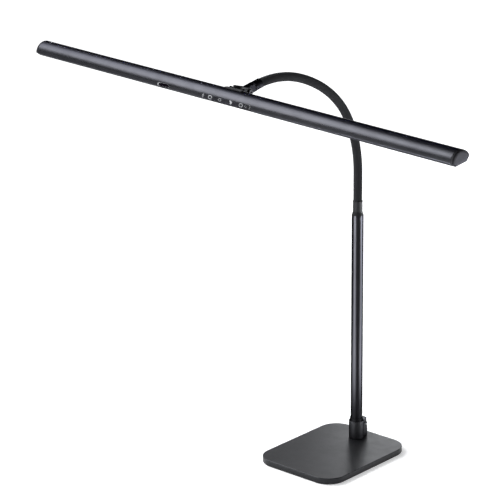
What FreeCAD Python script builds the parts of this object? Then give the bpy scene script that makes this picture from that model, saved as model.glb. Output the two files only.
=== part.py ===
import FreeCAD, Part
import math
import os
import re
import Sketcher
from FreeCAD import Placement, Rotation, Vector

# Desk lamp with a wide light bar on a gooseneck: steel foot plate, swivelling pole,
# bendable neck, tilting bar.  Millimetres, +Z up.  The origin is on the pole's axis at
# the underside of the foot; the bar runs along X and hangs out in front, towards -Y.

doc = FreeCAD.newDocument("PianoLamp")

# ---------------------------------------------------------------- driving dimensions
DIMS = {
    # foot
    "base_width": 160.0, "base_depth": 200.0, "base_corner": 32.0, "plate_thick": 9.3,
    "plate_edge": 1.2, "mat_thick": 1.2, "mat_inset": 1.5, "pole_setback": 33.6,
    "pole_offset": 4.9, "base_turn": 6.1,
    # socket that holds the pole, with a lug at its back
    "bush_wall": 1.1, "bush_lip": 5.1, "socket_wall": 1.6, "socket_height": 30.9,
    "socket_floor": 6.0, "lug_width": 12.0, "lug_depth": 9.25, "lug_height": 10.5,
    "ear_rise": 12.0, "ear_depth": 8.65, "screw_radius": 1.5, "screw_circle": 7.0,
    "screw_head": 2.75, "screw_head_thick": 1.8, "screw_grip": 4.0,
    # power inlet in the lug
    "jack_radius": 3.6, "jack_depth": 9.8, "jack_flange": 4.5, "jack_flange_thick": 0.8,
    "jack_height": 4.7, "jack_bore": 2.75, "jack_bore_depth": 8.4, "jack_pin": 1.0,
    # latch that keeps the pole in the socket
    "latch_width": 7.4, "latch_room": 2.9, "latch_height": 18.1, "latch_lift": 1.4,
    "latch_slope": 35.0, "latch_slope_drop": 3.4, "latch_pivot_depth": 6.1,
    "latch_pivot_rise": 8.8, "latch_pin_radius": 1.2, "spring_wire": 0.7, "spring_turns": 5.0,
    "spring_pitch": 0.63, "spring_pocket": 4.2,
    "nib_width": 5.6, "nib_thick": 2.0, "nib_bite": 0.9, "nib_rise": 2.0,
    # pole
    "pole_radius": 9.5, "pole_wall": 1.2, "pole_length": 360.7, "plug_height": 14.3,
    "plug_spigot": 12.0, "groove_depth": 1.5, "groove_height": 5.0, "groove_rise": 0.2,
    "wire_radius": 1.7, "grub_length": 4.0,
    # gooseneck: seven links, each of them an arc with its own turn in degrees
    "neck_radius": 7.0, "sleeve_wall": 1.8, "ferrule_wall": 0.95, "ferrule_shoulder": 5.7,
    "ferrule_height": 17.5, "ferrule_bore": 15.0, "neck_rise": 46.4, "link_length": 46.2,
    "turn_a": 13.2, "turn_b": 13.3, "turn_c": 18.1, "turn_d": 14.8, "turn_e": 11.7,
    "turn_f": 16.4, "turn_g": 16.6,
    # tilt hinge between the neck and the bar
    "knuckle_reach": 20.0, "knuckle_width": 12.0, "knuckle_radius": 6.0, "collar_wall": 0.6,
    "collar_grip": 10.0, "collar_ahead": 4.0, "ear_thick": 3.0, "ear_lean": 65.0, "ear_arm": 17.5,
    "washer_thick": 0.6, "washer_radius": 5.6, "bolt_radius": 2.5, "bolt_head": 4.4,
    "bolt_head_thick": 2.5, "hinge_clear": 9.45, "hinge_angle": 16.5, "bar_lean": 10.0,
    # light bar
    "bar_length": 920.0, "cap_thick": 5.0, "cap_edge": 1.4, "key_length": 8.0, "key_half": 7.0,
    "key_tall": 5.5, "bar_round": 18.3, "bar_drop": 2.0, "bar_flat": 22.0, "bar_wall": 1.4,
    "web_height": 7.0, "web_thick": 1.2, "lens_lip": 1.42, "lens_thick": 1.1,
    "led_board_half": 8.0, "led_board_thick": 1.0, "led_margin": 5.0, "led_size": 3.0,
    "led_thick": 0.6, "led_pitch": 20.0,
    "saddle_width": 36.0, "saddle_thick": 2.0, "saddle_front": 1.5, "saddle_low": 8.0,
    "saddle_screw_inset": 4.0, "saddle_screw_angle": 35.0, "saddle_screw_grip": 2.0,
    # controls and electronics
    "panel_length": 106.0, "panel_shift": 4.0, "panel_top": 10.5, "panel_lap": 0.4,
    "touch_board_inset": 4.0,
    "touch_board_back": 2.0, "touch_board_low": 2.2, "touch_board_tall": 4.6, "board_thick": 1.2,
    "sensor_place": 138.5, "sensor_length": 25.0, "sensor_radius": 2.9, "sensor_depth": 4.0,
    "sensor_angle": 159.0,
    "driver_length": 120.0, "driver_half": 9.0, "can_radius": 3.4, "can_tall": 5.4,
    "can_place": 46.0, "can_pitch": 14.0, "choke_size": 12.0, "choke_tall": 4.0,
    "chip_size": 8.0, "chip_tall": 2.0, "chip_place": 42.0, "lead_rise": 13.5,
    # clearances
    "body_gap": 0.3, "run_gap": 0.05, "seam_gap": 0.15,
}

dims = doc.addObject("Spreadsheet::Sheet", "dims")
for row, (alias, value) in enumerate(DIMS.items(), start=1):
    dims.set(f"A{row}", alias)
    dims.set(f"B{row}", str(value))
    dims.setAlias(f"B{row}", alias)

# ---------------------------------------------------------------- derived places
TURNS = ["turn_a", "turn_b", "turn_c", "turn_d", "turn_e", "turn_f", "turn_g"]

DERIVED = {
    "base_top": "dims.mat_thick + dims.plate_thick",
    "bush_bore": "dims.pole_radius + dims.run_gap",
    "bush_outer": "bush_bore + dims.bush_wall",
    "socket_radius": "bush_outer + dims.socket_wall",
    "floor_top": "base_top + dims.socket_floor",
    "socket_top": "base_top + dims.socket_height",
    "lug_top": "base_top + dims.lug_height",
    "lug_back": "socket_radius + dims.lug_depth",
    "ear_back": "socket_radius + dims.ear_depth",
    "plug_low": "floor_top + dims.body_gap",
    "tube_low": "plug_low + dims.plug_height",
    "tube_bore": "dims.pole_radius - dims.pole_wall",
    "pole_top": "tube_low + dims.pole_length",
    "wire_high": "base_top + dims.socket_floor / 2",
    "jack_high": "base_top + dims.jack_height",
    "nib_low": "lug_top + dims.nib_rise",
    "nib_tip": "dims.pole_radius - dims.nib_bite",
    "window_low": "lug_top - dims.seam_gap",
    "window_tall": "dims.groove_height + dims.body_gap",
    "latch_low": "lug_top + dims.latch_lift",
    "latch_face": "socket_radius + dims.latch_room",
    "pivot_back": "socket_radius + dims.latch_pivot_depth",
    "pivot_high": "lug_top + dims.latch_pivot_rise",
    "shoulder_top": "pole_top + dims.ferrule_shoulder",
    "ferrule_top": "shoulder_top + dims.ferrule_height",
    "ferrule_radius": "dims.neck_radius + dims.ferrule_wall",
    "ferrule_tail": "pole_top - dims.ferrule_bore",
    "collar_radius": "dims.neck_radius + dims.collar_wall",
    "sleeve_low": "ferrule_top - dims.ferrule_bore",
    "coil_radius": "dims.neck_radius - dims.sleeve_wall",
    "coil_bore": "dims.wire_radius + dims.body_gap",
    "cup_radius": "dims.neck_radius + dims.body_gap",
    "heading_1": "0",
    "across_1": "0",
    "along_1": "ferrule_top + dims.neck_rise",
}
for number, turn in enumerate(TURNS, start=1):
    after = number + 1
    bend = f"(dims.link_length / (dims.{turn} * pi / 180))"
    DERIVED[f"curve_{number}"] = bend
    DERIVED[f"heading_{after}"] = f"heading_{number} + dims.{turn}"
    DERIVED[f"across_{after}"] = (f"across_{number} - curve_{number}"
                                  f" * (cos(heading_{number}) - cos(heading_{after}))")
    DERIVED[f"along_{after}"] = (f"along_{number} + curve_{number}"
                                 f" * (sin(heading_{after}) - sin(heading_{number}))")
DERIVED.update({
    "hinge_back": "(dims.bar_round + dims.hinge_clear) * cos(dims.hinge_angle)",
    "hinge_up": "(dims.bar_round + dims.hinge_clear) * sin(dims.hinge_angle)",
    "hinge_y": "across_8 - dims.knuckle_reach * sin(heading_8)",
    "hinge_z": "along_8 + dims.knuckle_reach * cos(heading_8)",
    "bar_y": "hinge_y - hinge_back * cos(dims.bar_lean) + hinge_up * sin(dims.bar_lean)",
    "bar_z": "hinge_z - hinge_back * sin(dims.bar_lean) - hinge_up * cos(dims.bar_lean)",
    "profile_length": "dims.bar_length - 2 * dims.cap_thick",
    "inner_round": "dims.bar_round - dims.bar_wall",
    "inner_drop": "dims.bar_drop - dims.bar_wall",
    "inner_flat": "dims.bar_flat + 2 * dims.bar_wall * (1 - sqrt(2))",
    "slot_half": "inner_flat / 2 - dims.lens_lip",
    "lens_half": "inner_flat / 2 - dims.body_gap",
    "panel_back": "dims.bar_flat / 2 - dims.panel_lap",
    "panel_start": "dims.panel_shift - dims.panel_length / 2",
    "ear_inside": "dims.knuckle_width / 2 + dims.body_gap + dims.washer_thick",
    "ear_outside": "ear_inside + dims.ear_thick",
    "web_top": "dims.web_height + dims.web_thick",
    "driver_top": "web_top + dims.board_thick",
    "saddle_round": "dims.bar_round + dims.saddle_thick",
})

place = doc.addObject("Spreadsheet::Sheet", "place")
for row, (alias, formula) in enumerate(DERIVED.items(), start=1):
    place.set(f"A{row}", alias)
    place.set(f"B{row}", "=" + formula)
    place.setAlias(f"B{row}", alias)
    doc.recompute()


def value(name):
    """A driving or derived size as a plain number."""
    sheet = dims if name in DIMS else place
    number = sheet.get(name)
    return float(getattr(number, "Value", number))


# ---------------------------------------------------------------- small helpers
def bound(expression):
    """Short names become references to the two sheets."""
    known = set(DIMS) | set(DERIVED)

    def swap(match):
        word = match.group(0)
        if word in DIMS:
            return "dims." + word
        return "place." + word if word in known else word

    return re.sub(r"[a-z]+(?:_[a-z0-9]+)*", swap, str(expression))


def tie(item, **sizes):
    for name, expression in sizes.items():
        item.setExpression(name, bound(expression))


def put(item, at):
    for axis, expression in zip("xyz", at):
        if str(expression) != "0":
            item.setExpression(f"Placement.Base.{axis}", bound(expression))


ALONG_X = Rotation(Vector(0, 1, 0), 90)
ALONG_Y = Rotation(Vector(1, 0, 0), -90)


def box(length, width, height, at):
    item = doc.addObject("Part::Box", "Block")
    tie(item, Length=length, Width=width, Height=height)
    put(item, at)
    return item


def rod(radius, height, at=(0, 0, 0), turn=None):
    item = doc.addObject("Part::Cylinder", "Rod")
    if turn:
        item.Placement = Placement(Vector(), turn)
    tie(item, Radius=radius, Height=height)
    put(item, at)
    return item


def ball(radius, at=(0, 0, 0)):
    item = doc.addObject("Part::Sphere", "Ball")
    tie(item, Radius=radius)
    put(item, at)
    return item


def cone(low, high, height, at=(0, 0, 0)):
    item = doc.addObject("Part::Cone", "Taper")
    tie(item, Radius1=low, Radius2=high, Height=height)
    put(item, at)
    return item


def fuse(*items):
    item = doc.addObject("Part::MultiFuse", "Joined")
    item.Shapes = list(items)
    return item


def cut(base, *tools):
    tool = tools[0] if len(tools) == 1 else fuse(*tools)
    item = doc.addObject("Part::Cut", "Carved")
    item.Base = base
    item.Tool = tool
    return item


def common(base, tool):
    item = doc.addObject("Part::Common", "Shared")
    item.Base = base
    item.Tool = tool
    return item


def group(*items):
    """Separate solids that are one kind of piece, such as a set of screws."""
    item = doc.addObject("Part::Compound", "Set")
    item.Links = list(items)
    return item


def pipe(outer, inner, height, at=(0, 0, 0), turn=None):
    return cut(rod(outer, height, at, turn), rod(inner, height, at, turn))


NODES = {}


def piece(item, name):
    item.Label = name
    NODES[name] = item
    return item


def whole(item):
    """A primitive keeps its own place inside a set, which then takes the group's place."""
    return item if item.TypeId in ("Part::Cut", "Part::Compound", "Part::MultiFuse", "Part::Common",
                                   "PartDesign::Body") else group(item)


def on_base(item, name):
    """The foot and its socket are turned about the pole."""
    item = whole(item)
    item.Placement = Placement(Vector(), Rotation(Vector(0, 0, 1), value("base_turn")))
    tie(item, **{"Placement.Rotation.Angle": "base_turn"})
    return piece(item, name)


def on_neck(item, name, number):
    """A neck piece stands at pivot number, with +Z along the neck."""
    item = whole(item)
    item.Placement = Placement(Vector(), Rotation(Vector(1, 0, 0), 1 + value(f"heading_{number}")))
    tie(item, **{"Placement.Rotation.Angle": f"heading_{number}"})
    put(item, (0, f"across_{number}", f"along_{number}"))
    return piece(item, name)


def on_bar(item, name):
    """A bar piece is drawn about the centre of the bar's round top."""
    item = whole(item)
    item.Placement = Placement(Vector(), Rotation(Vector(1, 0, 0), value("bar_lean")))
    tie(item, **{"Placement.Rotation.Angle": "bar_lean"})
    put(item, (0, "bar_y", "bar_z"))
    return piece(item, name)


def plane_of(body, role):
    return next(item for item in body.Origin.OriginFeatures if item.Role == role)


def upright_edges(shape, axis):
    """Names of the straight edges that run along an axis."""
    names = []
    for number, edge in enumerate(shape.Edges, start=1):
        straight = isinstance(edge.Curve, Part.Line)
        if straight and abs(edge.tangentAt(edge.FirstParameter).dot(axis)) > 0.999:
            names.append(f"Edge{number}")
    return names


def slab(name, length, width, thick, corner, at, edge=None):
    """A flat plate with rounded corners and, if asked, an eased top edge."""
    body = doc.addObject("PartDesign::Body", name)
    plate = body.newObject("PartDesign::AdditiveBox", name + "Block")
    tie(plate, Length=length, Width=width, Height=thick)
    put(plate, at)
    doc.recompute()
    rounding = body.newObject("PartDesign::Fillet", name + "Corners")
    rounding.Base = (plate, upright_edges(plate.Shape, Vector(0, 0, 1)))
    tie(rounding, Radius=corner)
    doc.recompute()
    if edge:
        top = max(rounding.Shape.Faces, key=lambda face: face.CenterOfMass.z)
        names = []
        for number, candidate in enumerate(rounding.Shape.Edges, start=1):
            if any(candidate.isSame(rim) for rim in top.Edges):
                names.append(f"Edge{number}")
        easing = body.newObject("PartDesign::Fillet", name + "Easing")
        easing.Base = (rounding, names)
        tie(easing, Radius=edge)
    return body


def outline(body, name, radius, drop, flat):
    """The bar's section: a round top, two slanting lower sides and a flat underside."""
    sketch = body.newObject("Sketcher::SketchObject", name)
    sketch.AttachmentSupport = (plane_of(body, "YZ_Plane"), "")
    sketch.MapMode = "FlatFace"
    top = value(radius)
    low = -value(drop)
    half = value(flat) / 2
    reach = half - low
    shoulder_z = (-reach + (2 * top**2 - reach**2) ** 0.5) / 2
    shoulder_y = reach + shoulder_z
    right = Vector(shoulder_y, shoulder_z, 0)
    left = Vector(-shoulder_y, shoulder_z, 0)
    low_left = Vector(-half, low, 0)
    low_right = Vector(half, low, 0)
    first = math.atan2(shoulder_z, shoulder_y)
    circle = Part.Circle(Vector(), Vector(0, 0, 1), top)
    sketch.addGeometry(Part.ArcOfCircle(circle, first, math.pi - first), False)
    sketch.addGeometry(Part.LineSegment(left, low_left), False)
    sketch.addGeometry(Part.LineSegment(low_left, low_right), False)
    sketch.addGeometry(Part.LineSegment(low_right, right), False)
    rule = Sketcher.Constraint
    sketch.addConstraint([
        rule("Coincident", 0, 3, -1, 1),
        rule("Coincident", 0, 2, 1, 1),
        rule("Coincident", 1, 2, 2, 1),
        rule("Coincident", 2, 2, 3, 1),
        rule("Coincident", 3, 2, 0, 1),
        rule("Symmetric", 2, 1, 2, 2, -2),
        rule("Perpendicular", 1, 3),
        rule("Horizontal", 0, 1, 0, 2),
    ])
    round_rule = sketch.addConstraint(rule("Radius", 0, top))
    flat_rule = sketch.addConstraint(rule("DistanceX", 2, 1, 2, 2, 2 * half))
    drop_rule = sketch.addConstraint(rule("DistanceY", 2, 1, -1, 1, -low))
    sketch.setExpression(f"Constraints[{round_rule}]", bound(radius))
    sketch.setExpression(f"Constraints[{flat_rule}]", bound(flat))
    sketch.setExpression(f"Constraints[{drop_rule}]", bound(drop))
    return sketch


def bar_section(name, radius, drop, flat, length, start, eased=None):
    """The section as a solid, from X = start along +X."""
    body = doc.addObject("PartDesign::Body", name)
    sketch = outline(body, name + "Outline", radius, drop, flat)
    doc.recompute()
    pad = body.newObject("PartDesign::Pad", name + "Pad")
    pad.Profile = sketch
    tie(pad, Length=length)
    put(body, (start, 0, 0))
    doc.recompute()
    if eased:
        face = max(pad.Shape.Faces, key=lambda item: item.CenterOfMass.x)
        names = []
        for number, candidate in enumerate(pad.Shape.Edges, start=1):
            if any(candidate.isSame(rim) for rim in face.Edges):
                names.append(f"Edge{number}")
        easing = body.newObject("PartDesign::Fillet", name + "Easing")
        easing.Base = (pad, names)
        tie(easing, Radius=eased)
    return body


# ---------------------------------------------------------------- foot
def screw_spots():
    """Four places on the screw circle."""
    spots = []
    for x_sign, y_sign in ((1, 1), (-1, 1), (-1, -1), (1, -1)):
        spots.append((f"{x_sign} * screw_circle * sqrt(0.5)", f"{y_sign} * screw_circle * sqrt(0.5)"))
    return spots


def make_foot():
    left = "pole_offset - base_width / 2"
    back = "pole_setback - base_depth"
    plate = slab("FootPlate", "base_width", "base_depth", "plate_thick", "base_corner",
                 (left, back, "mat_thick"), "plate_edge")
    holes = []
    screws = []
    for spot in screw_spots():
        low = (*spot, "mat_thick")
        holes.append(rod("screw_head + seam_gap", "screw_head_thick", low))
        holes.append(rod("screw_radius + seam_gap", "plate_thick", low))
        screws.append(fuse(rod("screw_head", "screw_head_thick", low),
                           rod("screw_radius", "plate_thick + screw_grip", low)))
    on_base(cut(plate, *holes), "base_plate")
    on_base(group(*screws), "socket_screws")
    mat = slab("FootMat", "base_width - 2 * mat_inset", "base_depth - 2 * mat_inset", "mat_thick",
               "base_corner - mat_inset", (left + " + mat_inset", back + " + mat_inset", "0"))
    on_base(mat, "base_mat")


# ---------------------------------------------------------------- socket and inlet
def nib_window(depth):
    """The way that the latch's nib takes through the collar and the bush."""
    return box("nib_width + 4 * body_gap", depth, "window_tall",
               ("-nib_width / 2 - 2 * body_gap", "body_gap", "window_low"))


def pivot_rod(radius, length):
    """A rod on the latch's pivot, centred on the lug."""
    return rod(radius, length, (f"-({length}) / 2", "pivot_back", "pivot_high"), ALONG_X)


def make_socket():
    parts = [rod("socket_radius", "socket_height", (0, 0, "base_top")),
             box("lug_width", "lug_back", "lug_height", ("-lug_width / 2", "0", "base_top"))]
    for start in ("-lug_width / 2", "latch_width / 2 + body_gap"):
        parts.append(box("(lug_width - latch_width) / 2 - body_gap", "ear_back - bush_bore",
                         "ear_rise", (start, "bush_bore", "lug_top")))
    tools = [rod("bush_outer", "socket_height", (0, 0, "floor_top")),
             rod("wire_radius + body_gap", "socket_floor", (0, 0, "wire_high")),
             rod("wire_radius + body_gap", "lug_back - jack_depth", (0, 0, "wire_high"), ALONG_Y),
             rod("jack_radius", "jack_depth", (0, "lug_back - jack_depth", "jack_high"), ALONG_Y),
             nib_window("socket_radius"),
             pivot_rod("latch_pin_radius", "lug_width")]
    for spot in screw_spots():
        tools.append(rod("screw_radius", "screw_grip", (*spot, "base_top")))
    on_base(cut(fuse(*parts), *tools), "pole_socket")

    bush = pipe("bush_outer", "bush_bore", "socket_height - socket_floor + bush_lip",
                (0, 0, "floor_top"))
    on_base(cut(bush, nib_window("socket_radius")), "socket_bush")


def make_inlet():
    start = "lug_back - jack_depth"
    mouth = "lug_back + jack_flange_thick - jack_bore_depth"
    shell = fuse(rod("jack_radius", "jack_depth", (0, start, "jack_high"), ALONG_Y),
                 rod("jack_flange", "jack_flange_thick", (0, "lug_back", "jack_high"), ALONG_Y))
    on_base(cut(shell, rod("jack_bore", "jack_bore_depth", (0, mouth, "jack_high"), ALONG_Y)),
            "inlet_jack")
    on_base(rod("jack_pin", "jack_bore_depth - jack_flange_thick", (0, mouth, "jack_high"),
                ALONG_Y), "inlet_pin")
    lead = fuse(rod("wire_radius", start, (0, 0, "wire_high"), ALONG_Y),
                rod("wire_radius", "socket_floor / 2", (0, 0, "wire_high")))
    on_base(lead, "inlet_lead")


# ---------------------------------------------------------------- latch
def make_latch():
    """A thumb latch: pressed at the top, its nib leaves the groove in the pole's plug."""
    block = box("latch_width", "lug_back - latch_face", "latch_height",
                ("-latch_width / 2", "latch_face", "latch_low"))
    slope = box("2 * latch_width", "latch_height", "latch_height", (0, 0, 0))
    slope.Placement = Placement(Vector(), Rotation(Vector(1, 0, 0), value("latch_slope")))
    tie(slope, **{"Placement.Rotation.Angle": "latch_slope"})
    put(slope, ("-latch_width", "latch_face", "latch_low + latch_height - latch_slope_drop"))
    nib = box("nib_width", "latch_face - nib_tip + nib_thick", "nib_thick",
              ("-nib_width / 2", "nib_tip", "nib_low"))
    shape = cut(fuse(cut(block, slope), nib),
                pivot_rod("latch_pin_radius + run_gap", "lug_width"),
                pivot_rod("latch_pin_radius + spring_wire + body_gap", "spring_pocket"))
    on_base(shape, "release_latch")
    on_base(pivot_rod("latch_pin_radius", "lug_width"), "latch_pin")
    coils = []
    turns = int(value("spring_turns"))
    for number in range(turns):
        item = doc.addObject("Part::Torus", "Coil")
        item.Placement = Placement(Vector(), ALONG_X)
        tie(item, Radius1="latch_pin_radius + spring_wire / 2", Radius2="spring_wire / 2")
        along = f"({number} - {(turns - 1) / 2}) * spring_pitch"
        put(item, (along, "pivot_back", "pivot_high"))
        coils.append(item)
    on_base(fuse(*coils), "latch_spring")


# ---------------------------------------------------------------- pole
def grub_rod(length):
    """A rod across the pole's wall, from the ferrule's tail outwards."""
    return rod("screw_radius", length,
               (0, "pole_radius - grub_length", "pole_top - ferrule_bore / 2"), ALONG_Y)


def make_pole():
    plug = fuse(rod("pole_radius", "plug_height", (0, 0, "plug_low")),
                rod("tube_bore", "plug_spigot", (0, 0, "tube_low")))
    ring = pipe("2 * pole_radius", "pole_radius - groove_depth", "groove_height",
                (0, 0, "lug_top + groove_rise"))
    bore = rod("wire_radius + body_gap", "plug_height + plug_spigot", (0, 0, "plug_low"))
    piece(cut(plug, ring, bore), "pole_plug")

    tube = pipe("pole_radius", "tube_bore", "pole_length", (0, 0, "tube_low"))
    piece(cut(tube, grub_rod("pole_radius")), "pole_tube")

    ferrule = fuse(rod("tube_bore", "ferrule_bore", (0, 0, "ferrule_tail")),
                   cone("pole_radius", "ferrule_radius", "ferrule_shoulder", (0, 0, "pole_top")),
                   rod("ferrule_radius", "ferrule_height", (0, 0, "shoulder_top")))
    way = rod("coil_bore", "ferrule_top - ferrule_tail", (0, 0, "ferrule_tail"))
    seat = rod("neck_radius", "ferrule_bore", (0, 0, "sleeve_low"))
    piece(cut(ferrule, seat, way, grub_rod("pole_radius")), "neck_ferrule")
    piece(grub_rod("grub_length - seam_gap"), "ferrule_grub_screw")
    piece(rod("wire_radius", "along_1 - cup_radius - plug_low", (0, 0, "plug_low")), "pole_wire")

    length = "along_1 - sleeve_low"
    sleeve = fuse(rod("neck_radius", length, (0, 0, "sleeve_low")),
                  ball("neck_radius", (0, 0, "along_1")))
    hollow = rod("coil_radius", length + " + neck_radius", (0, 0, "sleeve_low"))
    piece(cut(sleeve, hollow), "neck_sleeve_0")
    piece(pipe("coil_radius", "coil_bore", length, (0, 0, "sleeve_low")), "neck_coil_0")


# ---------------------------------------------------------------- gooseneck
TO_NECK = Rotation(Vector(1, 1, 1), 120)
LAST = len(TURNS)


def bend(radius, number):
    """A rod that follows the neck from pivot number to the next one."""
    item = doc.addObject("Part::Torus", "Bend")
    item.Placement = Placement(Vector(), TO_NECK)
    tie(item, Radius1=f"curve_{number}", Radius2=radius, Angle3=TURNS[number - 1])
    put(item, (0, f"-curve_{number}", 0))
    return item


def past_end(number, distance="0", lift="0"):
    """A place past link number's far end, along the neck's heading and lifted square to it."""
    turn = TURNS[number - 1]
    curve = f"curve_{number}"
    y = f"-{curve} * (1 - cos({turn})) - ({distance}) * sin({turn}) + ({lift}) * cos({turn})"
    z = f"{curve} * sin({turn}) + ({distance}) * cos({turn}) + ({lift}) * sin({turn})"
    return y, z


def headed(item, number, at):
    """Turns an item to the neck's heading at link number's far end."""
    turn = TURNS[number - 1]
    item.Placement = Placement(Vector(), Rotation(Vector(1, 0, 0), value(turn)))
    tie(item, **{"Placement.Rotation.Angle": turn})
    put(item, at)
    return item


def make_neck():
    """Each link ends in a ball about the next pivot and starts with a cup about its own."""
    for number in range(1, LAST + 1):
        outer = bend("neck_radius", number)
        tools = [bend("coil_radius", number), ball("cup_radius")]
        if number < LAST:
            outer = fuse(outer, ball("neck_radius", (0, *past_end(number))))
            tools.append(headed(rod("coil_radius", "neck_radius"), number, (0, *past_end(number))))
        on_neck(cut(outer, *tools), f"neck_sleeve_{number}", number)
        on_neck(cut(bend("coil_radius", number), bend("coil_bore", number), ball("cup_radius")),
                f"neck_coil_{number}", number)
        on_neck(cut(bend("wire_radius", number), ball("cup_radius")), f"neck_wire_{number}", number)


def make_knuckle():
    """The neck's end: a collar on the sleeve and a flat tongue for the tilt bolt."""
    collar = headed(rod("collar_radius", "collar_grip + collar_ahead"), LAST,
                    (0, *past_end(LAST, "-collar_grip")))
    tongue = headed(box("knuckle_width", "2 * knuckle_radius", "knuckle_reach - collar_ahead / 2",
                        (0, 0, 0)), LAST,
                    ("-knuckle_width / 2", *past_end(LAST, "collar_ahead / 2", "-knuckle_radius")))
    tip = ("-knuckle_width / 2", *past_end(LAST, "knuckle_reach"))
    barrel = rod("knuckle_radius", "knuckle_width", tip, ALONG_X)
    hole = rod("bolt_radius + run_gap", "knuckle_width", tip, ALONG_X)
    on_neck(cut(fuse(collar, tongue, barrel), bend("neck_radius", LAST), hole), "neck_knuckle", LAST)


# ---------------------------------------------------------------- light bar
def leaned(item, angle, at):
    """Turns an item about X by a named angle."""
    item.Placement = Placement(Vector(), Rotation(Vector(1, 0, 0), 1))
    tie(item, **{"Placement.Rotation.Angle": angle})
    put(item, at)
    return item


def sensor_slot(margin):
    """A slot with round ends, square to the bar's front, where the hand sensor looks out."""
    radius = f"(sensor_radius + {margin})"
    half = "(sensor_length / 2 - sensor_radius)"
    y = "(bar_round - sensor_depth) * cos(sensor_angle)"
    z = "(bar_round - sensor_depth) * sin(sensor_angle)"
    middle = leaned(box(f"2 * {half}", f"2 * {radius}", "sensor_depth", (0, 0, 0)),
                    "sensor_angle - 90",
                    (f"-{half} - sensor_place", f"{y} - {radius} * sin(sensor_angle)",
                     f"{z} + {radius} * cos(sensor_angle)"))
    ends = []
    for sign in (-1, 1):
        ends.append(leaned(rod(radius, "sensor_depth"), "sensor_angle - 90",
                           (f"{sign} * {half} - sensor_place", y, z)))
    return fuse(middle, *ends)


def saddle_rod(radius, start, length, sign):
    """A rod square to the bar's round top: sign -1 or 1 for the screws, 0 for the lead."""
    return leaned(rod(radius, length), "-saddle_screw_angle",
                  (f"{sign} * (saddle_width / 2 - saddle_screw_inset)",
                   f"({start}) * sin(saddle_screw_angle)", f"({start}) * cos(saddle_screw_angle)"))


def saddle_holes():
    holes = []
    for sign in (-1, 1):
        holes.append(saddle_rod("screw_radius", "inner_round - saddle_screw_grip",
                                "saddle_screw_grip + 2 * saddle_thick", sign))
    holes.append(saddle_rod("wire_radius + body_gap", "lead_rise", "bar_round", 0))
    return holes


def shell_pair(name, length, middle="0"):
    """The bar's outer form and its cavity, over a length of the bar."""
    start = f"{middle} - ({length}) / 2"
    outer = bar_section(name, "bar_round", "bar_drop", "bar_flat", length, start)
    inner = bar_section(name + "Room", "inner_round", "inner_drop", "inner_flat", length, start)
    return outer, inner


def long_box(length, half, low, height):
    """A strip along the bar, centred on it."""
    return box(length, f"2 * ({half})", height, (f"-({length}) / 2", f"-({half})", low))


def make_bar():
    outer, inner = shell_pair("Bar", "profile_length")
    web = long_box("profile_length", "bar_round", "web_height", "web_thick")
    slot = long_box("profile_length", "slot_half", "-bar_drop", "bar_wall")
    window = box("panel_length + 2 * seam_gap", "bar_round", "panel_top + bar_drop",
                 ("panel_start - seam_gap", "-bar_round - panel_back", "-bar_drop"))
    on_bar(cut(outer, cut(inner, web), slot, window, sensor_slot("seam_gap"), *saddle_holes()),
           "bar_profile")
    lens = fuse(long_box("profile_length", "slot_half - seam_gap", "-bar_drop", "bar_wall"),
                long_box("profile_length", "lens_half", "-inner_drop", "lens_thick"))
    on_bar(lens, "diffuser")
    for side, name in ((-1, "end_cap_left"), (1, "end_cap_right")):
        cap = bar_section("Cap" + name[8:].title(), "bar_round", "bar_drop", "bar_flat",
                          "cap_thick", "0", "cap_edge")
        cap.Placement = Placement(Vector(), Rotation(Vector(0, 0, 1), 90 - 90 * side))
        put(cap, (f"{side} * profile_length / 2", 0, 0))
        start = "profile_length / 2 - key_length" if side > 0 else "-profile_length / 2"
        key = box("key_length", "2 * key_half", "key_tall", (start, "-key_half", "driver_top"))
        on_bar(fuse(cap, key), name)


def make_lights():
    on_bar(long_box("profile_length - 2 * led_margin", "led_board_half",
                    "web_height - led_board_thick", "led_board_thick"), "led_board")
    chips = []
    count = int((value("profile_length") - 4 * value("led_margin")) // value("led_pitch"))
    for number in range(count):
        along = f"({number} - {(count - 1) / 2}) * led_pitch - led_size / 2"
        chips.append(box("led_size", "led_size", "led_thick",
                         (along, "-led_size / 2", "web_height - led_board_thick - led_thick")))
    on_bar(group(*chips), "led_chips")


def make_controls():
    frame = box("panel_length", "bar_round", "panel_top + bar_drop - seam_gap",
                ("panel_start", "-bar_round - panel_back - seam_gap", "-bar_drop"))
    on_bar(common(cut(*shell_pair("Panel", "panel_length", "panel_shift")), frame), "touch_panel")
    on_bar(box("panel_length - 2 * touch_board_inset", "board_thick", "touch_board_tall",
               ("panel_start + touch_board_inset", "-panel_back - touch_board_back",
                "touch_board_low")), "touch_board")
    on_bar(common(cut(*shell_pair("Sensor", "sensor_length", "-sensor_place")), sensor_slot("0")),
           "sensor_window")
    on_bar(long_box("driver_length", "driver_half", "web_top", "board_thick"), "driver_board")
    parts = []
    for number in range(3):
        along = f"can_pitch * {number} - can_place"
        parts.append(rod("can_radius", "can_tall", (along, 0, "driver_top")))
    parts.append(long_box("choke_size", "choke_size / 2", "driver_top", "choke_tall"))
    parts.append(box("chip_size", "chip_size", "chip_tall",
                     ("chip_place", "-chip_size / 2", "driver_top")))
    on_bar(group(*parts), "driver_parts")
    on_bar(saddle_rod("wire_radius", "lead_rise", "saddle_round - lead_rise", 0), "bar_lead")


# ---------------------------------------------------------------- saddle and tilt hinge
def hinge_rod(radius, start, length):
    return rod(radius, length, (start, "hinge_back", "hinge_up"), ALONG_X)


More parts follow.
